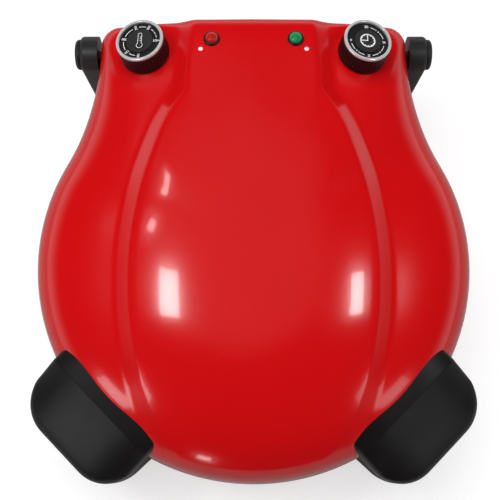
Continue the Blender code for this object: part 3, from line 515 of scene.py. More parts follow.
dish = {"start": 16.0 * mm, "flat": 23.0 * mm, "edge": 31.0 * mm, "depth": 1.2 * mm}
knobLean = (radians(10.0), radians(9.0))       # outward and back


# Where a knob stands, from its joint
def knobPlace(side, name):
    spot = Matrix.Translation(joints[name + "_turn"]["pos_m"])
    return spot @ Matrix.Rotation(side * knobLean[0], 4, "Y") @ Matrix.Rotation(-knobLean[1], 4, "X")


knobSpots = [(name, knobPlace(side, name)) for side, name in ((-1, "thermostat"), (1, "timer"))]


# Plan of a housing: a round body whose sides run in a hollow sweep into a square neck
def housingOutline(shape, inset, rearInset=None):
    radius, sweep = plan["rim"] - inset, plan["sweep"] + inset
    rear = shape["rear"] - (inset if rearInset is None else rearInset)
    corner, centreX = shape["corner"], shape["neckHalf"] - inset + sweep
    centreY = sqrt((radius + sweep) ** 2 - centreX ** 2)
    meet = atan2(centreY, centreX)
    half = []
    for i in range(plan["arcSteps"]):
        angle = -pi / 2 + (meet + pi / 2) * i / plan["arcSteps"]
        half.append((radius * cos(angle), radius * sin(angle)))
    last = asin((centreY - rear + corner) / sweep)
    for i in range(plan["sweepSteps"]):
        angle = meet + (last - meet) * i / plan["sweepSteps"]
        half.append((centreX - sweep * cos(angle), centreY - sweep * sin(angle)))
    cornerX = centreX - sweep * cos(last) - corner
    for i in range(plan["cornerSteps"] + 1):
        angle = pi / 2 * i / plan["cornerSteps"]
        half.append((cornerX + corner * cos(angle), rear - corner + corner * sin(angle)))
    half += [(cornerX * i / plan["rearSteps"], rear) for i in range(plan["rearSteps"])][::-1]
    return half + [(-x, y) for x, y in half[-2:0:-1]]


# Edge of the raised panel, on the +X side, from before the front to beyond the rear
def panelEdge():
    control = [Vector((x * plan["rim"], y * plan["rim"])) for x, y in tongueShares]
    control[-1].x = control[-2].x = max(dome["tongueHalf"], control[-1].x)
    control += [Vector((dome["tongueHalf"], plan["rear"])),
                Vector((dome["tongueHalf"], 2 * plan["rear"]))]
    chain = [Vector((-control[2].x, control[2].y)), Vector((-control[1].x, control[1].y)), *control]
    line, steps = [], 10
    for before, start, end, after in zip(chain, chain[1:], chain[2:], chain[3:]):
        for i in range(steps):
            t = i / steps
            line.append(0.5 * (2 * start + (end - before) * t
                               + (2 * before - 5 * start + 4 * end - after) * t ** 2
                               + (3 * start - before - 3 * end + after) * t ** 3))
    return line + control[-2:]


edgeLine = panelEdge()
edgeTree = KDTree(len(edgeLine))
for i, point in enumerate(edgeLine):
    edgeTree.insert((point.x, point.y, 0.0), i)
edgeTree.balance()


# Distance outside the panel's edge, negative on the panel
def beyondPanel(x, y):
    spot = Vector((abs(x), y))
    nearest = edgeTree.find((spot.x, spot.y, 0.0))[1]
    best, sign = None, 1.0
    for i in range(max(nearest - 1, 0), min(nearest + 1, len(edgeLine) - 1)):
        start, side = edgeLine[i], edgeLine[i + 1] - edgeLine[i]
        share = min(max((spot - start).dot(side) / side.dot(side), 0.0), 1.0)
        gap = spot - start - share * side
        if best is None or gap.length < best:
            best = gap.length
            sign = 1.0 if side.y * gap.x - side.x * gap.y > 0.0 else -1.0
    return sign * best


# How far from the middle a ray at an angle from the front meets the panel's edge
def panelReach(angle):
    ray = Vector((abs(sin(angle)), -cos(angle)))
    for start, end in zip(edgeLine, edgeLine[1:]):
        side = end - start
        spread = ray.x * side.y - ray.y * side.x
        if spread == 0.0:
            continue
        share = (start.y * ray.x - start.x * ray.y) / -spread
        reach = (start.x * side.y - start.y * side.x) / spread
        if -0.001 <= share <= 1.001 and reach > 0.0:
            return reach
    return 2 * plan["rear"]


# Height over the rim of the lid's top, before its edge is rounded down
def crownAt(x, y):
    rim, rear, band = plan["rim"], plan["rear"], dome["band"]
    outside = beyondPanel(x, y)
    ahead = y - (rear - dome["rearFallRun"])
    fall = dome["rearFall"] * (ahead + hypot(ahead, dome["rearFallBlend"])) / 2
    aside = max(abs(x) - dome["tongueHalf"], 0.0)
    fall += dome["sideFall"] * aside * ease(y, dome["neckStart"] * rim, dome["sideFallEnd"])
    grown = ease(y, *(share * rim for share in dome["liftGrows"]))
    lift = dome["frontLift"] + (1.0 - dome["frontLift"]) * grown
    lift -= (1.0 - dome["rearLift"]) * ease(y, dome["liftFalls"] * rim, rear)
    hollow = 1.0 - softRamp(-outside / dome["bulgeReach"], dome["bulgeCorner"])
    bulge = (1.0 - hollow ** 2) * (1.0 - dome["rearFlat"] * ease(y, dome["neckStart"] * rim, rear))
    raised = softRamp(1.0 - outside / band, dome["bandCorner"])
    swell = (1.0 - raised) * exp(-max(outside - band, 0.0) / dome["swellRun"])
    swell *= 1.0 - ease(y, *(share * rim for share in dome["swellFades"]))
    return (dome["height"] - fall + dome["tongueBulge"] * bulge
            + lift * (dome["tongueLift"] * raised + dome["swell"] * swell))


# The round seats under the knobs are sunk into the crown
def dished(x, y, height, inset):
    for _, place in knobSpots:
        up, origin = place.col[2], place.col[3]
        local = place.inverted() @ Vector((x, y + ovenShift, dome["rimZ"] + height))
        reach = hypot(local.x, local.y)
        if reach < dish["edge"]:
            level = origin.z - (up.x * (x - origin.x) + up.y * (y + ovenShift - origin.y)) / up.z
            share = 1.0 - ease(reach, dish["flat"], dish["edge"])
            sink = dish["depth"] * ease(reach, dish["start"], dish["flat"])
            height += share * (level - sink - inset - dome["rimZ"] - height)
    return height


# How square the section is at an angle from the front
def sectionPower(angle):
    front, rear = dome["frontRoundness"], dome["rearRoundness"]
    return 1.0 / (front + (rear - front) * ease(angle, *dome["roundnessTurn"]))


# One line of the lid's section, from the middle out to the rim
def spoke(x, y, inset, rings):
    length, angle = hypot(x, y), atan2(x, -y)
    power, rearward = sectionPower(abs(angle)), ease(abs(angle), *dome["rearTurn"])
    reach = panelReach(angle) / length

    def point(share):
        height = crownAt(share * x, share * y) - inset
        height *= max(1.0 - share ** power, 0.0) ** (1 / power)
        height = dished(share * x, share * y, height, inset)
        return Vector((share * x, share * y, dome["rimZ"] + height))

    # Rings gather at the crease, and towards the neck they keep to even shares
    ends = (min(reach, dome["crownEnd"]),
            min(reach + dome["bandPast"] * dome["band"] / length, dome["bandEnd"]))
    inner, outer = (end * (1.0 - rearward) + even * rearward
                    for end, even in zip(ends, dome["rearEnds"]))
    line = [point(inner * i / rings[0]) for i in range(1, rings[0])]
    line += [point(inner + (outer - inner) * i / rings[1]) for i in range(rings[1])]
    fine, steep = 5 * rings[2], dome["wallStart"]
    flat = [outer + (steep - outer) * i / fine for i in range(fine)] if outer < steep else []
    start = asin(max(outer, steep) ** (power / 2))
    flat += [sin(start + (pi / 2 - start) * i / fine) ** (2 / power) for i in range(fine + 1)]
    return line + evenly([point(share) for share in flat], rings[2])


# The same line with its points at even distances
def evenly(points, count):
    lengths = [0.0]
    for start, end in zip(points, points[1:]):
        lengths.append(lengths[-1] + (end - start).length)
    line, k = [], 0
    for i in range(count + 1):
        goal = lengths[-1] * i / count
        while k < len(points) - 2 and lengths[k + 1] < goal:
            k += 1
        span = lengths[k + 1] - lengths[k]
        line.append(points[k].lerp(points[k + 1], (goal - lengths[k]) / span if span else 0.0))
    return line


def domeRows(inset, rings):
    spokes = [spoke(x, y, inset, rings) for x, y in housingOutline(plan, inset)]
    top = crownAt(0.0, 0.0) - inset + dome["rimZ"]
    return [[(0.0, 0.0, top)]] + [list(row) for row in zip(*spokes)]


# The lid's lower edge is turned in on a small radius
def edgeRows():
    low, radius, rows = dome["rimZ"], dome["lip"], []
    for turn in (0.0, pi / 6, pi / 3, pi / 2):
        inset, rise = radius * (1.0 - cos(turn)), radius * (1.0 - sin(turn))
        rows.append([(x, y, low + rise) for x, y in housingOutline(plan, inset)])
    return rows + [[(x, y, low) for x, y in housingOutline(plan, plan["wall"])]]


def makeLidDome():
    outer = domeRows(0.0, dome["outerRings"])
    for row in outer[-2:]:
        for point in row:
            point.z = max(point.z, dome["rimZ"] + dome["lip"])
    inner = domeRows(plan["wall"], dome["innerRings"])
    addPiece("lidDome", skin(outer[:-1] + edgeRows() + inner[::-1][1:]), red, "lid",
             ["lid_shell"], sharp=40.0)


makeLidDome()
print("lid dome")


# Base housing: the same plan, drawn in under a soft belly to a flat floor
under = {
    "neckHalf": 127.0 * mm, "rear": 183.0 * mm, "corner": 10.0 * mm,
    "floor": 12.0 * mm, "rim": 84.0 * mm, "deck": 77.0 * mm,
    "deckStart": (138.0 * mm, 152.0 * mm), "inset": 42.0 * mm, "power": 2.3,
    "levels": 30, "lip": 0.9 * mm, "floorRings": (0.9, 0.6, 0.3),
}


# How far in the belly stands at a share of its height
def bellyShare(share):
    return 1.0 - (1.0 - (1.0 - share) ** under["power"]) ** (1.0 / under["power"])


def baseRow(share, wall, floor, lip=0.0):
    drawn, inset, row = bellyShare(share), under["inset"], []
    for x, y in housingOutline(under, wall + inset * drawn, wall + inset * drawn ** 2):
        top = under["rim"] - (under["rim"] - under["deck"]) * ease(y, *under["deckStart"]) - lip
        row.append((x, y, floor + (top - floor) * share))
    return row


def makeBaseShell():
    wall, lip, floor, count = plan["wall"], under["lip"], under["floor"], under["levels"]
    shares = [1.0 - cos(pi / 2 * i / count) for i in range(count + 1)]
    outer = [baseRow(share, 0.0, floor, lip) for share in shares]
    edge = [baseRow(1.0, lip * (1.0 - cos(turn)), floor, lip * (1.0 - sin(turn)))
            for turn in (pi / 6, pi / 3, pi / 2)]
    inner = [baseRow(share, wall, floor + wall) for share in (1.0, 0.7, 0.4, 0.15, 0.0)]

    def flat(share, z, row):
        return [(x * share, y * share, z) for x, y, _ in row]
    below = [flat(share, floor, outer[0]) for share in under["floorRings"]][::-1]
    above = [flat(share, floor + wall, inner[-1]) for share in under["floorRings"]]
    rows = [[(0.0, 0.0, floor)]] + below + outer + edge + inner + above + [[(0.0, 0.0, floor + wall)]]
    addPiece("baseHousing", skin(rows), red, "base", ["base_shell"], sharp=40.0)


makeBaseShell()


# The four grips: a crest by the housing, and a face that falls to a rounded lip
grip = {
    "ridge": 165.0 * mm, "outer": 211.0 * mm, "inner": 150.0 * mm, "half": 51.5 * mm,
    "corner": 30.0 * mm, "tip": 9.0 * mm, "ridgeHeight": 0.62 * dome["height"],
    "lipHeight": 13.0 * mm, "innerRise": 3.0 * mm, "endDrop": 6.0 * mm,
    "round": 5.0 * mm, "roundShare": 0.2, "edge": 1.6 * mm, "endEdge": 1.6, "hollow": 0.7 * mm,
    "hollowEnd": 0.8, "lift": 1.0 * mm, "sink": 0.9 * mm, "turn": radians(45.0), "lowerShare": 0.8,
    "columns": 26,
}


# Radius of the housing at a height over, or depth under, its rim
def housingRadius(height, lower):
    if lower:
        return plan["rim"] - under["inset"] * bellyShare(1.0 - height / (under["rim"] - under["floor"]))
    share = min(height / dome["height"], 1.0)
    return plan["rim"] * (1.0 - share ** (1.0 / dome["frontRoundness"])) ** dome["frontRoundness"]


def gripHeight(across, place, reach):
    crest, lip = grip["ridge"], grip["lipHeight"]
    slope = (place - crest) / (grip["outer"] - crest)
    if slope < 0.0:
        height = grip["ridgeHeight"] + grip["innerRise"] * (crest - place) / (crest - grip["inner"])
    else:
        height = grip["ridgeHeight"] + (lip - grip["ridgeHeight"]) * slope
        height -= grip["hollow"] * sin(pi * min(slope / grip["hollowEnd"], 1.0))
    height -= grip["endDrop"] * (across / grip["half"]) ** 4
    edge = min(reach - place, grip["endEdge"] * (grip["half"] - abs(across)))
    if edge < grip["round"]:
        height -= grip["round"] - sqrt(grip["round"] ** 2 - (grip["round"] - max(edge, 0.0)) ** 2)
    return height


# One closed section across a grip, where it meets the housing out to its lip
def gripSection(across, lower):
    scale = grip["lowerShare"] if lower else 1.0
    beyond = max(abs(across) - (grip["half"] - grip["corner"]), 0.0)
    reach = grip["outer"] - grip["corner"] + sqrt(max(grip["corner"] ** 2 - beyond ** 2, 0.0))
    tip = max(abs(across) - (grip["half"] - grip["tip"]), 0.0)
    start = sqrt(grip["inner"] ** 2 - across ** 2)
    start += grip["tip"] - sqrt(max(grip["tip"] ** 2 - tip ** 2, 0.0))

    def meeting(height):
        radius = housingRadius(scale * height, lower) - grip["sink"]
        return max(sqrt(radius ** 2 - across ** 2), start)
    near = start
    for _ in range(12):
        near = 0.5 * (near + meeting(gripHeight(across, near, reach)))
    top = gripHeight(across, near, reach)
    low = grip["lift"] / scale
    section = [(meeting(low + (top - low) * i / 8), low + (top - low) * i / 8) for i in range(8)]
    crest = max(grip["ridge"], near + 2 * grip["edge"])
    places = [near + grip["edge"] * share for share in (0.0, 0.15, 0.5, 1.0)]
    places += [near + (crest - near) * share for share in (0.3, 0.6, 0.85, 0.96)]
    places = sorted(places) + [crest]
    face = reach - crest
    places += [crest + face * share for share in (0.02, 0.06, 0.14, 0.25, 0.37, 0.5, 0.62, 0.74)]
    rounding = min(grip["round"], grip["roundShare"] * face)
    places += [reach - rounding * share for share in (1.0, 0.75, 0.52, 0.33, 0.18, 0.08, 0.02, 0.0)]
    section += [(place, gripHeight(across, place, reach)) for place in places]
    lip = section[-1][1]
    section += [(reach, low + (lip - low) * share) for share in (0.7, 0.3)]
    section += [(reach - grip["edge"] * (1.0 - cos(turn)), low + grip["edge"] * (1.0 - sin(turn)))
                for turn in (0.0, pi / 4, pi / 2)]
    return [(across, -place, scale * height) for place, height in section]


def makeGrip(side, word, lower):
    count = 2 * grip["columns"]
    rows = [gripSection(grip["half"] * sin(pi / 2 * (i / grip["columns"] - 1.0)), lower)
            for i in range(count + 1)]
    level = under["rim"] if lower else dome["rimZ"]
    rows = [[(x, y, level - z if lower else level + z) for x, y, z in row] for row in rows]
    bm = moved(skin(rows, caps=True), Matrix.Rotation(side * grip["turn"], 4, "Z"))
    body = "base" if lower else "lid"
    addPiece(body + "Grip_" + word, bm, gripBlack, body,
             ["%s_handle_%s" % (body, word)], sharp=38.0)


for side, word in sides:
    for lower in (False, True):
        makeGrip(side, word, lower)
print("base housing and grips")


# Hinge arms: round heads on upright arms that fit against the base
arm = {
    "y": 176.0 * mm, "z": 105.0 * mm, "head": 15.0 * mm, "inner": 129.0 * mm, "width": 15.0 * mm,
    "taper": 5.0 * mm, "foot": 38.0 * mm, "shift": 3.0 * mm,
    "hug": 9.0 * mm, "hugTop": 75.0 * mm, "hugBlend": 2.0 * mm,
    "edge": 3.2 * mm, "capGap": 0.3 * mm, "capLength": 4.0 * mm, "capRadius": 12.5 * mm,
    "capDome": 2.7 * mm, "groove": 0.5 * mm,
}


# Side view of an arm as (y, z) pairs, front and rear, set in by a margin
def armOutline(margin):
    head = arm["head"] - margin
    line = [(head * sin(pi / 2 * i / 20), arm["z"] + head * cos(pi / 2 * i / 20)) for i in range(21)]
    low = arm["foot"] + margin
    line += [(head, arm["z"] + (low - arm["z"]) * i / 14) for i in range(1, 15)]
    pairs = []
    for reach, z in line:
        middle = arm["y"] - arm["shift"] * max(arm["z"] - z, 0.0) / (arm["z"] - arm["foot"])
        pairs.append(((middle - reach, z), (middle + reach, z)))
    return pairs


def makeArm(side, word):
    rows = []
    edge = arm["edge"]
    for turn in [None] + [pi / 2 * i / 6 for i in range(7)]:
        pairs = armOutline(edge * (1.0 - cos(turn)) if turn else 0.0)
        ring = [front for front, _ in pairs][::-1] + [rear for _, rear in pairs[1:]]
        row = []
        for y, z in ring:
            fall = max(arm["z"] - z, 0.0) / (arm["z"] - arm["foot"])
            outer = arm["inner"] + arm["width"] - arm["taper"] * fall
            hug = 1.0 - ease(z, arm["hugTop"] - arm["hugBlend"], arm["hugTop"])
            inner = arm["inner"] - arm["hug"] * hug
            row.append((side * (inner if turn is None else outer - edge * (1.0 - sin(turn))), y, z))
        rows.append(row)
    bm = skin(rows)
    bm.verts.ensure_lookup_table()
    size = len(rows[0])
    for first in (0, size * (len(rows) - 1)):
        last = first + size - 1
        for i in range(size // 2):
            corners = [bm.verts[first + i], bm.verts[first + i + 1],
                       bm.verts[last - i - 1], bm.verts[last - i]]
            kept = list(dict.fromkeys(corners))
            if len(kept) > 2:
                bm.faces.new(kept)
    addPiece("hingeArm_" + word, bm, hingeBlack, "base", ["hinge_arm_" + word])
    start = arm["inner"] + arm["width"] + arm["capGap"]
    radius, groove, domed = arm["capRadius"], arm["groove"], arm["capDome"]
    profile = [(0.0, 0.0), (radius, 0.0), (radius, groove), (radius - groove, groove + 0.15 * mm),
               (radius - groove, 2 * groove), (radius, 2.4 * groove)]
    profile += arc(radius - domed, arm["capLength"] - domed, domed, 0.0, pi / 2, 10)
    profile += [(0.5 * radius, arm["capLength"]), (0.0, arm["capLength"])]
    place = Matrix.Translation((side * start, arm["y"], arm["z"]))
    place = place @ Matrix.Rotation(side * pi / 2, 4, "Y")
    addPiece("hingeCap_" + word, moved(turned(profile, 72), place), hingeBlack, "base",
             ["hinge_cap_" + word])


for side, word in sides:
    makeArm(side, word)


# Knobs, each in its own frame: the ribbed skirt, bright ring, sunk dial and centre cap
knob = {
    "radius": 19.6 * mm, "low": 0.8 * mm, "top": 17.1 * mm, "high": 19.3 * mm, "neck": 14.9 * mm,
    "ribs": 44, "ribSteps": 6, "ribDepth": 0.55 * mm, "bore": 3.3 * mm, "skirt": 17.3 * mm,
    "ringOuter": 19.1 * mm, "ringInner": 16.8 * mm, "ringRound": 0.9 * mm,
    "wellInner": 16.5 * mm, "floor": 15.2 * mm, "web": 13.4 * mm,
    "dialEdge": 16.2 * mm, "dialLow": 15.5 * mm, "dialTop": 17.1 * mm,
    "capRadius": 10.6 * mm, "capLow": 17.4 * mm, "capTop": 18.0 * mm, "capEdge": 0.5 * mm,
}


# A row of the skirt. The share says how deep its ribs are there
def ribRow(radius, z, share):
    def reachAt(turn):
        valley = max(cos(knob["ribs"] * turn), 0.0) ** 1.5
        return radius - share * knob["ribDepth"] * valley
    return ringOf(reachAt, knob["ribSteps"] * knob["ribs"], z)


def makeKnob(name, place):
    body = name + "_knob"
    radius, low, neck = knob["radius"], knob["low"], knob["neck"]
    # radius, height and depth of the ribs, from the skirt's foot up over the well and back inside
    skirt = [(radius - 0.5 * mm, low, 0.0), (radius - 0.1 * mm, low + 0.15 * mm, 0.0),
             (radius, low + 0.6 * mm, 0.0), (radius, low + 1.4 * mm, 0.0),
             (radius, low + 1.7 * mm, 0.8), (radius, low + 2.1 * mm, 1.0),
             (radius, neck - 1.2 * mm, 1.0), (radius - 0.1 * mm, neck - 0.7 * mm, 0.7),
             (radius - 0.3 * mm, neck, 0.0), (knob["ringOuter"], neck + 0.3 * mm, 0.0),
             (knob["ringOuter"], knob["top"] - 0.3 * mm, 0.0),
             (knob["wellInner"], knob["top"] - 0.3 * mm, 0.0), (knob["wellInner"], knob["floor"], 0.0),
             (knob["bore"], knob["floor"], 0.0), (knob["bore"], knob["web"], 0.0),
             (knob["skirt"], knob["web"], 0.0), (knob["skirt"], low, 0.0)]
    rows = [ribRow(*line) for line in skirt]
    addPiece("knobSkirt_" + name, skin(rows, wrap=True), gripBlack, body,
             [body + "_grip"], place, sharp=48.0)
    outer, inner, rounding = knob["ringOuter"], knob["ringInner"], knob["ringRound"]
    top, high = knob["top"], knob["high"]
    ring = [(inner, top), (outer - 0.15 * mm, top), (outer, top + 0.2 * mm)]
    ring += arc(outer - rounding, high - rounding, rounding, 0.0, pi / 2, 8)
    ring += arc(inner + 0.5 * mm, high - 0.5 * mm, 0.5 * mm, pi / 2, pi, 6)
    addPiece("knobRing_" + name, turned(ring, 128), chrome, body, [body + "_ring"], place)
    bore, edge, low, top = knob["bore"], knob["dialEdge"], knob["dialLow"], knob["dialTop"]
    cap, sunk = knob["capRadius"], top - 0.25 * mm
    dial = [(bore, low), (edge, low), (edge, top - 0.2 * mm), (edge - 0.2 * mm, top),
            (cap + 0.5 * mm, top), (cap + 0.3 * mm, sunk), (bore, sunk)]
    addPiece("knobDial_" + name, turned(dial, 128), dialBlack, body,
             [body + "_dial"], place)
    low, high, edge = knob["capLow"], knob["capTop"], knob["capEdge"]
    cover = [(0.0, low), (cap, low), (cap, high - edge)]
    cover += arc(cap - edge, high - edge, edge, 0.2, pi / 2, 5) + [(0.5 * cap, high), (0.0, high)]
    addPiece("knobCap_" + name, turned(cover, 96), dialGrey, body, [body + "_cap"], place)


for name, place in knobSpots:
    makeKnob(name, place)


# White print on the knobs: numbers, lines and marks, a hair proud of the face
printed = {
    "thick": 0.12 * mm, "digits": 2.7 * mm, "bigDigits": 3.3 * mm, "middle": 13.4 * mm,
    "line": 0.5 * mm, "lineRadius": 13.4 * mm, "dot": 0.55 * mm,
    "icon": 0.42 * mm, "bulb": 2.4 * mm, "bulbY": -4.3 * mm, "tube": 1.45 * mm, "tubeTop": 5.6 * mm,
    "clock": 5.7 * mm, "clockLine": 0.95 * mm, "tick": 1.3 * mm, "tickLine": 0.57 * mm,
}


# A raised line along flat points
def stroke(points, width, level, closed=False):
    rows, last = [], len(points) - 1
    for i, (x, y) in enumerate(points):
        before = points[i - 1] if closed or i else points[i]
        after = points[(i + 1) % len(points)] if closed or i < last else points[i]
        along = Vector((after[0] - before[0], after[1] - before[1])).normalized()
        side = Vector((along.y, -along.x)) * width / 2
        top = level + printed["thick"]
        rows.append([(x - side.x, y - side.y, level), (x - side.x, y - side.y, top),
                     (x + side.x, y + side.y, top), (x + side.x, y + side.y, level)])
    return skin(rows, wrap=closed, caps=not closed)


# Points round the dial, in degrees clockwise from its top
def dialLine(radius, start, end, steps=14):
    angles = [radians(start + (end - start) * i / steps) for i in range(steps + 1)]
    return [(radius * sin(angle), radius * cos(angle)) for angle in angles]


def inkDot(x, y, radius, level):
    top = printed["thick"]
    return moved(turned([(0.0, 0.0), (radius, 0.0), (radius, top), (0.0, top)], 20),
                 Matrix.Translation((x, y, level)))


# A number set at a place on the dial, turned by an angle
def inkNumber(words, size, spot, turn, level):
    text = bpy.data.curves.new("number", "FONT")
    text.body, text.size = words, size
    text.align_x, text.align_y = "CENTER", "CENTER"
    text.extrude, text.offset = printed["thick"] / 2, size * 0.014
    text.resolution_u = 4
    holder = bpy.data.objects.new("number", text)
    bpy.context.scene.collection.objects.link(holder)
    mesh = bpy.data.meshes.new_from_object(holder.evaluated_get(bpy.context.evaluated_depsgraph_get()))
    bm = bmesh.new()
    bm.from_mesh(mesh)
    bpy.data.objects.remove(holder)
    bpy.data.curves.remove(text)
    bpy.data.meshes.remove(mesh)
    lift = Matrix.Translation((*spot, level + printed["thick"] / 2))
    return moved(bm, lift @ Matrix.Rotation(turn, 4, "Z"))


def numberAt(words, angle, level, size=None, levelTurn=None):
    spot = dialLine(printed["middle"], angle, angle, 1)[0]
    turn = pi / 2 - radians(angle) if levelTurn is None else levelTurn
    return inkNumber(words, size or printed["digits"], spot, turn, level)


# A line round the dial between its numbers
def dialDash(start, end, level, steps=14):
    return stroke(dialLine(printed["lineRadius"], start, end, steps), printed["line"], level)


def thermostatPrint(level, top):
    marks = (("100", 182), ("150", 227), ("200", 283), ("250", 342), ("300", 388), ("350+", 453))
    forms = [numberAt(words, angle, level) for words, angle in marks]
    for (_, start), (_, end) in zip(marks, marks[1:-1]):
        forms.append(dialDash(start + 11, end - 11, level))
    forms += [dialDash(start, end, level, 5) for start, end in ((400, 411), (415, 426), (430, 440))]
    bulb, tube, high, low = printed["bulb"], printed["tube"], printed["tubeTop"], printed["bulbY"]
    neck = asin(tube / bulb)
    outline = [(bulb * sin(a), low + bulb * cos(a))
               for a in [neck + (2 * pi - 2 * neck) * i / 36 for i in range(37)]]
    outline += [(-tube * cos(a), high + tube * sin(a)) for a in [pi * i / 12 for i in range(13)]]
    forms.append(stroke(outline, printed["icon"], top, True))
    for share in (0.0, 0.3, 0.6):
        forms.append(stroke([(0.0, share * high), (tube, share * high)], printed["icon"], top))
    return forms


def timerPrint(level, top):
    forms = [numberAt("30", 0, level, printed["bigDigits"], 0.0)]
    forms += [numberAt(words, angle, level) for words, angle in (("20", 90), ("10", 180), ("0", 270))]
    for start in (0, 90, 180):
        forms += [dialDash(start + low, start + high, level) for low, high in ((15, 38), (52, 76))]
        x, y = dialLine(printed["lineRadius"], start + 45, 0, 1)[0]
        forms.append(inkDot(x, y, printed["dot"], level))
    face, line, tick = printed["clock"], printed["clockLine"], printed["tick"]
    forms.append(stroke(dialLine(face, 0, 352.5, 47), line, top, True))
    for i in range(12):
        ends = [dialLine(reach, 30 * i, 0, 1)[0] for reach in (face - tick, face)]
        forms.append(stroke(ends, printed["tickLine"], top))
    forms.append(stroke([(0.0, 0.78 * face), (0.0, 0.0), (-0.9 * face, 0.0)], line, top))
    return forms


for (name, place), marks in zip(knobSpots, (thermostatPrint, timerPrint)):
    addPiece("knobPrint_" + name, gathered(marks(knob["dialTop"], knob["capTop"])), ink,
             name + "_knob", (), place, sharp=30.0)
print("hinge arms, knobs and print")


# Lamps, and the white spots beside them
lamp = {
    "lean": radians(8.0), "floor": -0.5 * mm, "brim": 1.6 * mm, "bezel": 6.6 * mm,
    "lens": 5.2 * mm, "seat": 5.5 * mm, "bore": 3.7 * mm, "stem": 3.4 * mm, "end": -9.0 * mm,
    "dome": 3.0 * mm, "flutes": 12, "fluteDepth": 0.16 * mm,
    "spot": (42.0 * mm, 161.0 * mm), "spotRadius": 1.8 * mm, "spotHeight": 0.16 * mm,
}


# A lamp leans back with the lid. Its bezel's box says where it stands
def lampPlace(name):
    rise = Matrix.Translation((0.0, 0.0, -(lamp["floor"] + lamp["brim"]) / 2))
    low, high = cornersOf(name + "_lamp_bezel")
    stand = Matrix.Translation((low + high) / 2)
    return stand @ Matrix.Rotation(-lamp["lean"], 4, "X") @ rise


def makeLamp(name, glass):
    place = lampPlace(name)
    brim, outer = lamp["brim"], lamp["bezel"]
    bezel = [(lamp["bore"], lamp["floor"]), (outer, lamp["floor"]), (outer, brim / 2)]
    bezel += arc(outer - 0.7 * brim, brim / 2, 0.7 * brim, 0.2, 0.72 * pi, 8)
    bezel += [(lamp["seat"], 0.9 * brim), (lamp["seat"], brim / 2), (lamp["bore"], brim / 2)]
    addPiece("lampBezel_" + name, turned(bezel, 72), lampBlack, "lid",
             [name + "_lamp_bezel"], place)
    lens, low = lamp["lens"], brim / 2 + 0.3 * mm
    profile = [(lamp["stem"], lamp["end"]), (lamp["stem"], low),
               (lens - 0.2 * mm, low), (lens, low + 0.2 * mm)]
    profile += [(lens * cos(a), brim + lamp["dome"] * sin(a))
                for a in [pi / 2 * i / 12 for i in range(12)]]

    def lensRow(radius, z):
        depth = lamp["fluteDepth"] * min(radius / lens, 1.0) if z > brim else 0.0
        return ringOf(lambda turn: radius - depth * (0.5 - 0.5 * cos(lamp["flutes"] * turn)), 96, z)
    rows = [[(0.0, 0.0, lamp["end"])]] + [lensRow(*line) for line in profile]
    rows.append([(0.0, 0.0, brim + lamp["dome"])])
    addPiece("lampLens_" + name, skin(rows), glass, "lid", [name + "_lamp_lens"], place)


makeLamp("power", redGlass)
makeLamp("heat", greenGlass)


# Height of the lid's top near the hinge
def lidTop(x, y):
    angle, reach = atan2(x, -y), hypot(x, y)
    power, share = sectionPower(abs(angle)), reach * -cos(angle) / plan["rear"]
    height = crownAt(x, y) * (1.0 - share ** power) ** (1.0 / power)
    return dome["rimZ"] + dished(x, y, height, 0.0)


def makeSpots():
    forms, reach = [], 0.5 * mm
    for side, _ in sides:
        x, y = side * lamp["spot"][0], lamp["spot"][1]
        z = lidTop(x, y)
        slopeX = (lidTop(x + reach, y) - z) / reach
        slopeY = (lidTop(x, y + reach) - z) / reach
        up = Vector((-slopeX, -slopeY, 1.0)).normalized()
        stand = Matrix.Translation((x, y, z)) @ up.to_track_quat("Z", "Y").to_matrix().to_4x4()
        radius, height = lamp["spotRadius"], lamp["spotHeight"]
        profile = [(0.0, -2 * height), (radius, -2 * height), (radius, 0.6 * height),
                   (0.92 * radius, height), (0.0, 1.1 * height)]
        forms.append(moved(turned(profile, 36), stand))
    addPiece("lampSpots", gathered(forms), ink, "lid")


makeSpots()
print("lamps")


# Inside: the bright dome over the stone, the pan under it, and the two heating elements
chamber = {
    "sheet": 1.2 * mm, "domeRadius": 158.0 * mm, "domePower": 2.6, "stoneRadius": 155.0 * mm,
    "stoneEdge": 2.0 * mm, "panWall": 160.0 * mm, "ledge": 148.0 * mm, "floorRadius": 138.0 * mm,
    "turns": 144, "fold": 1.8 * mm,
    "element": 116.0 * mm, "tube": 3.5 * mm, "endHalf": 15.0 * mm, "bend": 7.0 * mm, "tail": 14.0 * mm,
    "upperZ": 110.0 * mm, "lowerZ": 54.5 * mm,
    "bead": 6.4 * mm, "beadHeight": 3.2 * mm, "beadEdge": 0.8 * mm, "upperBeadZ": 121.0 * mm,
}


def makeReflector():
    low, high = cornersOf("lid_reflector")
    flange, sheet, radius = (high.x - low.x) / 2, chamber["sheet"], chamber["domeRadius"]
    rise, power, fold = high.z - low.z, chamber["domePower"], chamber["fold"]
    outer, inner = [], []
    for i in range(35):
        angle = pi / 2 * i / 36
        share = sin(angle) ** (2 / power)
        lift = (1.0 - share ** power) ** (1.0 / power)
        outer.append((share * radius, low.z + rise * lift))
        inner.append((share * (radius - sheet), low.z + (rise - sheet) * lift))
    outer += [(radius + fold * (1 - cos(a)), low.z + sheet + fold * (1 - sin(a)))
              for a in (0.0, 0.5, 1.0, pi / 2)]
    outer += [(flange - 0.3 * mm, low.z + sheet), (flange, low.z + 0.6 * sheet)]
    below = [(flange, low.z + 0.3 * sheet), (flange - 0.3 * mm, low.z)]
    below += [(radius - sheet + fold * (1 - cos(a)), low.z + fold * (1 - sin(a)))
              for a in (pi / 2, 1.0, 0.5, 0.0)]
    addPiece("reflector", turned(outer + below + inner[::-1], chamber["turns"]), spunSteel,
             "lid", ["lid_reflector"])


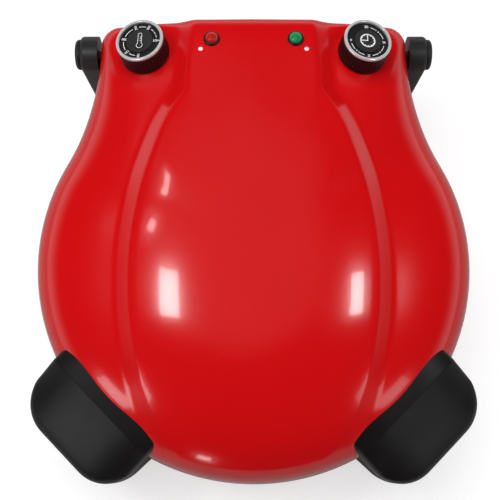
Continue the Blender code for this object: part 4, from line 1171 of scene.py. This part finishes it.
def makePan():
    low, high = cornersOf("base_pan")
    flange, sheet, fold = (high.x - low.x) / 2, chamber["sheet"], chamber["fold"]
    floor, top = low.z + sheet, high.z
    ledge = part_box("pizza_stone")[0][2] - 0.3 * mm
    wall, rim, base = chamber["panWall"], chamber["ledge"], chamber["floorRadius"]
    face = [(0.0, floor), (0.5 * base, floor), (base - fold, floor), (base, floor + 0.3 * fold),
            (rim - 0.4 * fold, ledge - 0.7 * fold), (rim + 0.3 * fold, ledge - 0.1 * fold),
            (rim + fold, ledge), (wall - fold, ledge)]
    face += arc(wall - fold, ledge + fold, fold, -pi / 2, 0.0, 4)
    face += arc(wall + fold, top - fold, fold, pi, pi / 2, 4)
    face += [(flange - 0.3 * mm, top), (flange, top - 0.4 * sheet), (flange, top - 0.8 * sheet),
             (flange - 0.3 * mm, top - sheet), (wall + 2 * sheet, top - sheet),
             (wall + sheet, top - 2 * sheet), (wall + sheet, ledge - 0.5 * sheet),
             (wall, ledge - sheet), (rim + sheet, ledge - sheet),
             (base + sheet, floor - 0.6 * sheet), (base, floor - sheet), (0.0, floor - sheet)]
    bm = turned(face, chamber["turns"])
    for vert in bm.verts:
        vert.co.y = min(vert.co.y, high.y - ovenShift)
    addPiece("pan", bm, panSteel, "base", ["base_pan"])


def makeStone():
    low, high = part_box("pizza_stone")
    radius, edge = chamber["stoneRadius"], chamber["stoneEdge"]
    profile = [(0.0, low[2]), (0.5 * radius, low[2])]
    profile += arc(radius - edge, low[2] + edge, edge, -pi / 2, 0.0, 5)
    profile += arc(radius - edge, high[2] - edge, edge, 0.0, pi / 2, 5)
    profile += [(radius * share, high[2]) for share in (0.8, 0.5, 0.2)] + [(0.0, high[2])]
    addPiece("stone", turned(profile, chamber["turns"]), stone, "base", ["pizza_stone"])


# A round tube along a path, its sections kept from twisting
def tubeAlong(path, radius, count=18):
    rows, side = [], None
    for i, point in enumerate(path):
        along = (path[min(i + 1, len(path) - 1)] - path[max(i - 1, 0)]).normalized()
        if side is None:
            side = along.orthogonal()
        side = (side - along * side.dot(along)).normalized()
        other = along.cross(side)
        rows.append([point + radius * (side * cos(2 * pi * k / count) + other * sin(2 * pi * k / count))
                     for k in range(count)])
    return skin(rows, caps=True)


def tailY():
    return sqrt(chamber["element"] ** 2 - chamber["endHalf"] ** 2)


def makeElement(name, level, rise, body):
    radius, bend = chamber["element"], chamber["bend"]
    gap, turn, steps = atan2(chamber["endHalf"], tailY()), bend / radius, 10
    start = []
    for i in range(steps + 1):
        step = pi / 2 * i / steps
        angle = pi / 2 + gap + turn * (1.0 - sin(step))
        z = level + rise * bend * (1.0 - cos(step))
        start.append(Vector((radius * cos(angle), radius * sin(angle), z)))
    tail = start[-1] + Vector((0.0, 0.0, rise * chamber["tail"]))
    sweep = 2 * pi - 2 * gap - 2 * turn
    ring = [pi / 2 + gap + turn + sweep * i / 150 for i in range(1, 150)]
    path = [tail] + start[::-1] + [Vector((radius * cos(a), radius * sin(a), level)) for a in ring]
    path += [Vector((-p.x, p.y, p.z)) for p in start] + [Vector((-tail.x, tail.y, tail.z))]
    addPiece(name, tubeAlong(path, chamber["tube"]), sheath, body,
             ["upper_element" if rise > 0 else "lower_element"])


# Ceramic beads where an element's ends pass through the sheet
def makeBeads(name, level, body):
    inner, outer, edge = chamber["tube"] + 0.1 * mm, chamber["bead"], chamber["beadEdge"]
    half = chamber["beadHeight"] / 2
    profile = [(inner, -half), (outer - edge, -half), (outer, edge - half)]
    profile += arc(outer - edge, half - edge, edge, 0.0, pi / 2, 4)
    profile += [(inner + edge, half), (inner, half - edge)]
    forms = [moved(turned(profile, 40), Matrix.Translation((side * chamber["endHalf"], tailY(), level)))
             for side, _ in sides]
    addPiece(name, gathered(forms), whiteCeramic, body)


makeReflector()
makePan()
makeStone()
makeElement("upperHeater", chamber["upperZ"], 1.0, "lid")
makeElement("lowerHeater", chamber["lowerZ"], -1.0, "base")
makeBeads("upperBeads", chamber["upperBeadZ"], "lid")
makeBeads("lowerBeads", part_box("base_pan")[0][2] + chamber["sheet"], "base")
print("inside")


# Underneath: rubber feet, the bare gland, and screws
fixings = {
    "foot": 12.0 * mm, "footEdge": 1.5 * mm, "footHollow": 2.6 * mm, "footWell": 4.5 * mm,
    "gland": 6.0 * mm, "glandBore": 3.6 * mm, "glandFlange": 9.0 * mm, "glandPlate": 2.5 * mm,
    "glandNose": 8.5 * mm, "glandWall": 2.9 * mm, "glandRibs": 6, "glandGap": 0.3 * mm,
    "head": 3.4 * mm, "headHeight": 1.1 * mm, "headSunk": 0.2 * mm,
    "socket": 1.5 * mm, "smallHead": 2.3 * mm,
    "baseX": 112.0 * mm, "baseY": 8.0 * mm, "baseFrontY": -112.0 * mm, "baseRearY": 132.0 * mm,
    "coverX": 98.0 * mm, "coverY": 158.0 * mm, "coverRearY": 181.0 * mm,
    "flangeRadius": 164.0 * mm, "flangeCount": 6, "deckX": 104.0 * mm, "deckY": 160.0 * mm,
    "armLevels": (50.0 * mm, 66.0 * mm),
}


def makeFoot(name):
    low, high = cornersOf(name)
    radius, edge, top = fixings["foot"], fixings["footEdge"], high.z - low.z
    hollow, well = fixings["footHollow"], fixings["footWell"]
    profile = [(0.0, hollow), (well - 0.5 * mm, hollow), (well, hollow - 0.5 * mm), (well, 0.4 * mm),
               (well + 0.4 * mm, 0.0), (radius - edge, 0.0)]
    profile += arc(radius - edge, edge, edge, -1.2, 0.0, 6)
    profile += [(radius - 0.3 * edge, 0.45 * top), (radius - 0.6 * edge, 0.5 * top),
                (radius - edge, top - 0.4 * mm), (radius - 1.3 * edge, top), (0.0, top)]
    place = Matrix.Translation(((low.x + high.x) / 2, (low.y + high.y) / 2, low.z))
    addPiece("rubber_" + name, turned(profile, 64), rubber, "base", [name], place)


def makeGland():
    low, high = cornersOf("cord_gland")
    tilt = asin(min((high.z - low.z - 2 * fixings["glandFlange"]) / fixings["glandNose"], 0.2))
    inner, flange, start = fixings["gland"], fixings["glandFlange"], fixings["glandGap"]
    bore, nose, wall = fixings["glandBore"], fixings["glandNose"], fixings["glandWall"]
    face = start + fixings["glandPlate"]
    profile = [(bore, -wall), (inner, -wall), (inner, start), (flange - 0.3 * mm, start),
               (flange, start + 0.4 * mm), (flange, face - 0.6 * mm), (flange - 0.6 * mm, face),
               (inner + 0.4 * mm, face), (inner, face + 0.4 * mm)]
    profile += [(inner - 0.35 * mm * (i % 2) - 0.12 * mm * i, face + 0.8 * mm * (i + 1))
                for i in range(fixings["glandRibs"])]
    profile += [(bore + 1.2 * mm, nose), (bore + 0.3 * mm, nose), (bore, nose - 0.3 * mm)]
    place = Matrix.Translation(((low.x + high.x) / 2, high.y - nose, (low.z + high.z) / 2))
    leaning = moved(turned(profile, 72), Matrix.Rotation(-pi / 2 - tilt, 4, "X"))
    addPiece("gland", leaning, lampBlack, "base", ["cord_gland"], place)


# A low screw head with a six-sided socket, its top along +Z
def screwHead(radius, place):
    height, socket, sunk, count = fixings["headHeight"], fixings["socket"], -fixings["headSunk"], 36

    def sixSided(reach, z):
        return ringOf(lambda turn: reach * cos(pi / 6) / cos(turn % (pi / 3) - pi / 6), count, z)
    rows = [[(0.0, 0.0, sunk)], circle(radius, count, sunk), circle(radius, count, 0.3 * height)]
    rows += [circle(radius * cos(a), count, height * (0.3 + 0.7 * sin(a))) for a in (0.3, 0.6, 0.85)]
    rows += [sixSided(socket, height), sixSided(socket - 0.1 * mm, 0.85 * height),
             sixSided(socket - 0.1 * mm, 0.2 * height), [(0.0, 0.0, 0.15 * height)]]
    return moved(skin(rows), place)


def makeScrews(name, body, radius, places):
    forms = gathered([screwHead(radius, place) for place in places])
    addPiece(name, forms, screwSteel, body)


# Screws in a flat face that looks down
def screwsBelow(name, body, radius, level, spots):
    makeScrews(name, body, radius, [Matrix.Translation((x, y, level)) @ Matrix.Rotation(pi, 4, "X")
                                    for x, y in spots])


for end in ("front", "rear"):
    for _, word in sides:
        makeFoot("foot_%s_%s" % (end, word))
makeGland()
screwsBelow("baseScrews", "base", fixings["head"], under["floor"], (
    (0.0, fixings["baseFrontY"]), (-fixings["baseX"], fixings["baseY"]),
    (fixings["baseX"], fixings["baseY"]), (0.0, fixings["baseRearY"])))
screwsBelow("coverScrews", "lid", fixings["head"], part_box("control_cover")[0][2], (
    (-fixings["coverX"], fixings["coverY"]), (0.0, fixings["coverRearY"]),
    (fixings["coverX"], fixings["coverY"])))
flangeTurns = [(2 * i + 1) * pi / fixings["flangeCount"] for i in range(fixings["flangeCount"])]
screwsBelow("flangeScrews", "lid", fixings["smallHead"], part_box("lid_reflector")[0][2], [
    (fixings["flangeRadius"] * cos(turn), fixings["flangeRadius"] * sin(turn)) for turn in flangeTurns])
makeScrews("deckScrews", "base", fixings["head"], [
    Matrix.Translation((side * fixings["deckX"], fixings["deckY"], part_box("rear_deck")[1][2]))
    for side, _ in sides])


# A screw in the outer face of a hinge arm
def armSpot(side, z):
    drop = (arm["z"] - z) / (arm["z"] - arm["foot"])
    reach = arm["inner"] + arm["width"] - arm["taper"] * drop
    spot = Matrix.Translation((side * reach, arm["y"] - 0.8 * arm["shift"], z))
    return spot @ Matrix.Rotation(side * pi / 2, 4, "Y")


makeScrews("armScrews", "base", fixings["smallHead"],
           [armSpot(side, z) for side, _ in sides for z in fixings["armLevels"]])


# Solids that stay as they are, with their finishes
for i in (1, 2, 3):
    finishNode("lower_clip_%d" % i, plainSteel)
    finishNode("upper_clip_%d" % i, plainSteel)
for _, word in sides:
    finishNode("hinge_pin_" + word, plainSteel, 0.3 * mm)
    finishNode("hinge_bush_" + word, plainSteel)
for name, _ in knobSpots:
    finishNode(name + "_shaft", plainSteel)
    finishNode(name + "_body", darkResin, 0.4 * mm)
for name in ("power_lamp_holder", "heat_lamp_holder", "terminal_block"):
    finishNode(name, whiteCeramic)
finishNode("rear_deck", plateBlack, 0.3 * mm)
finishNode("control_cover", plateBlack, 0.3 * mm)
print("fixings and finishes")
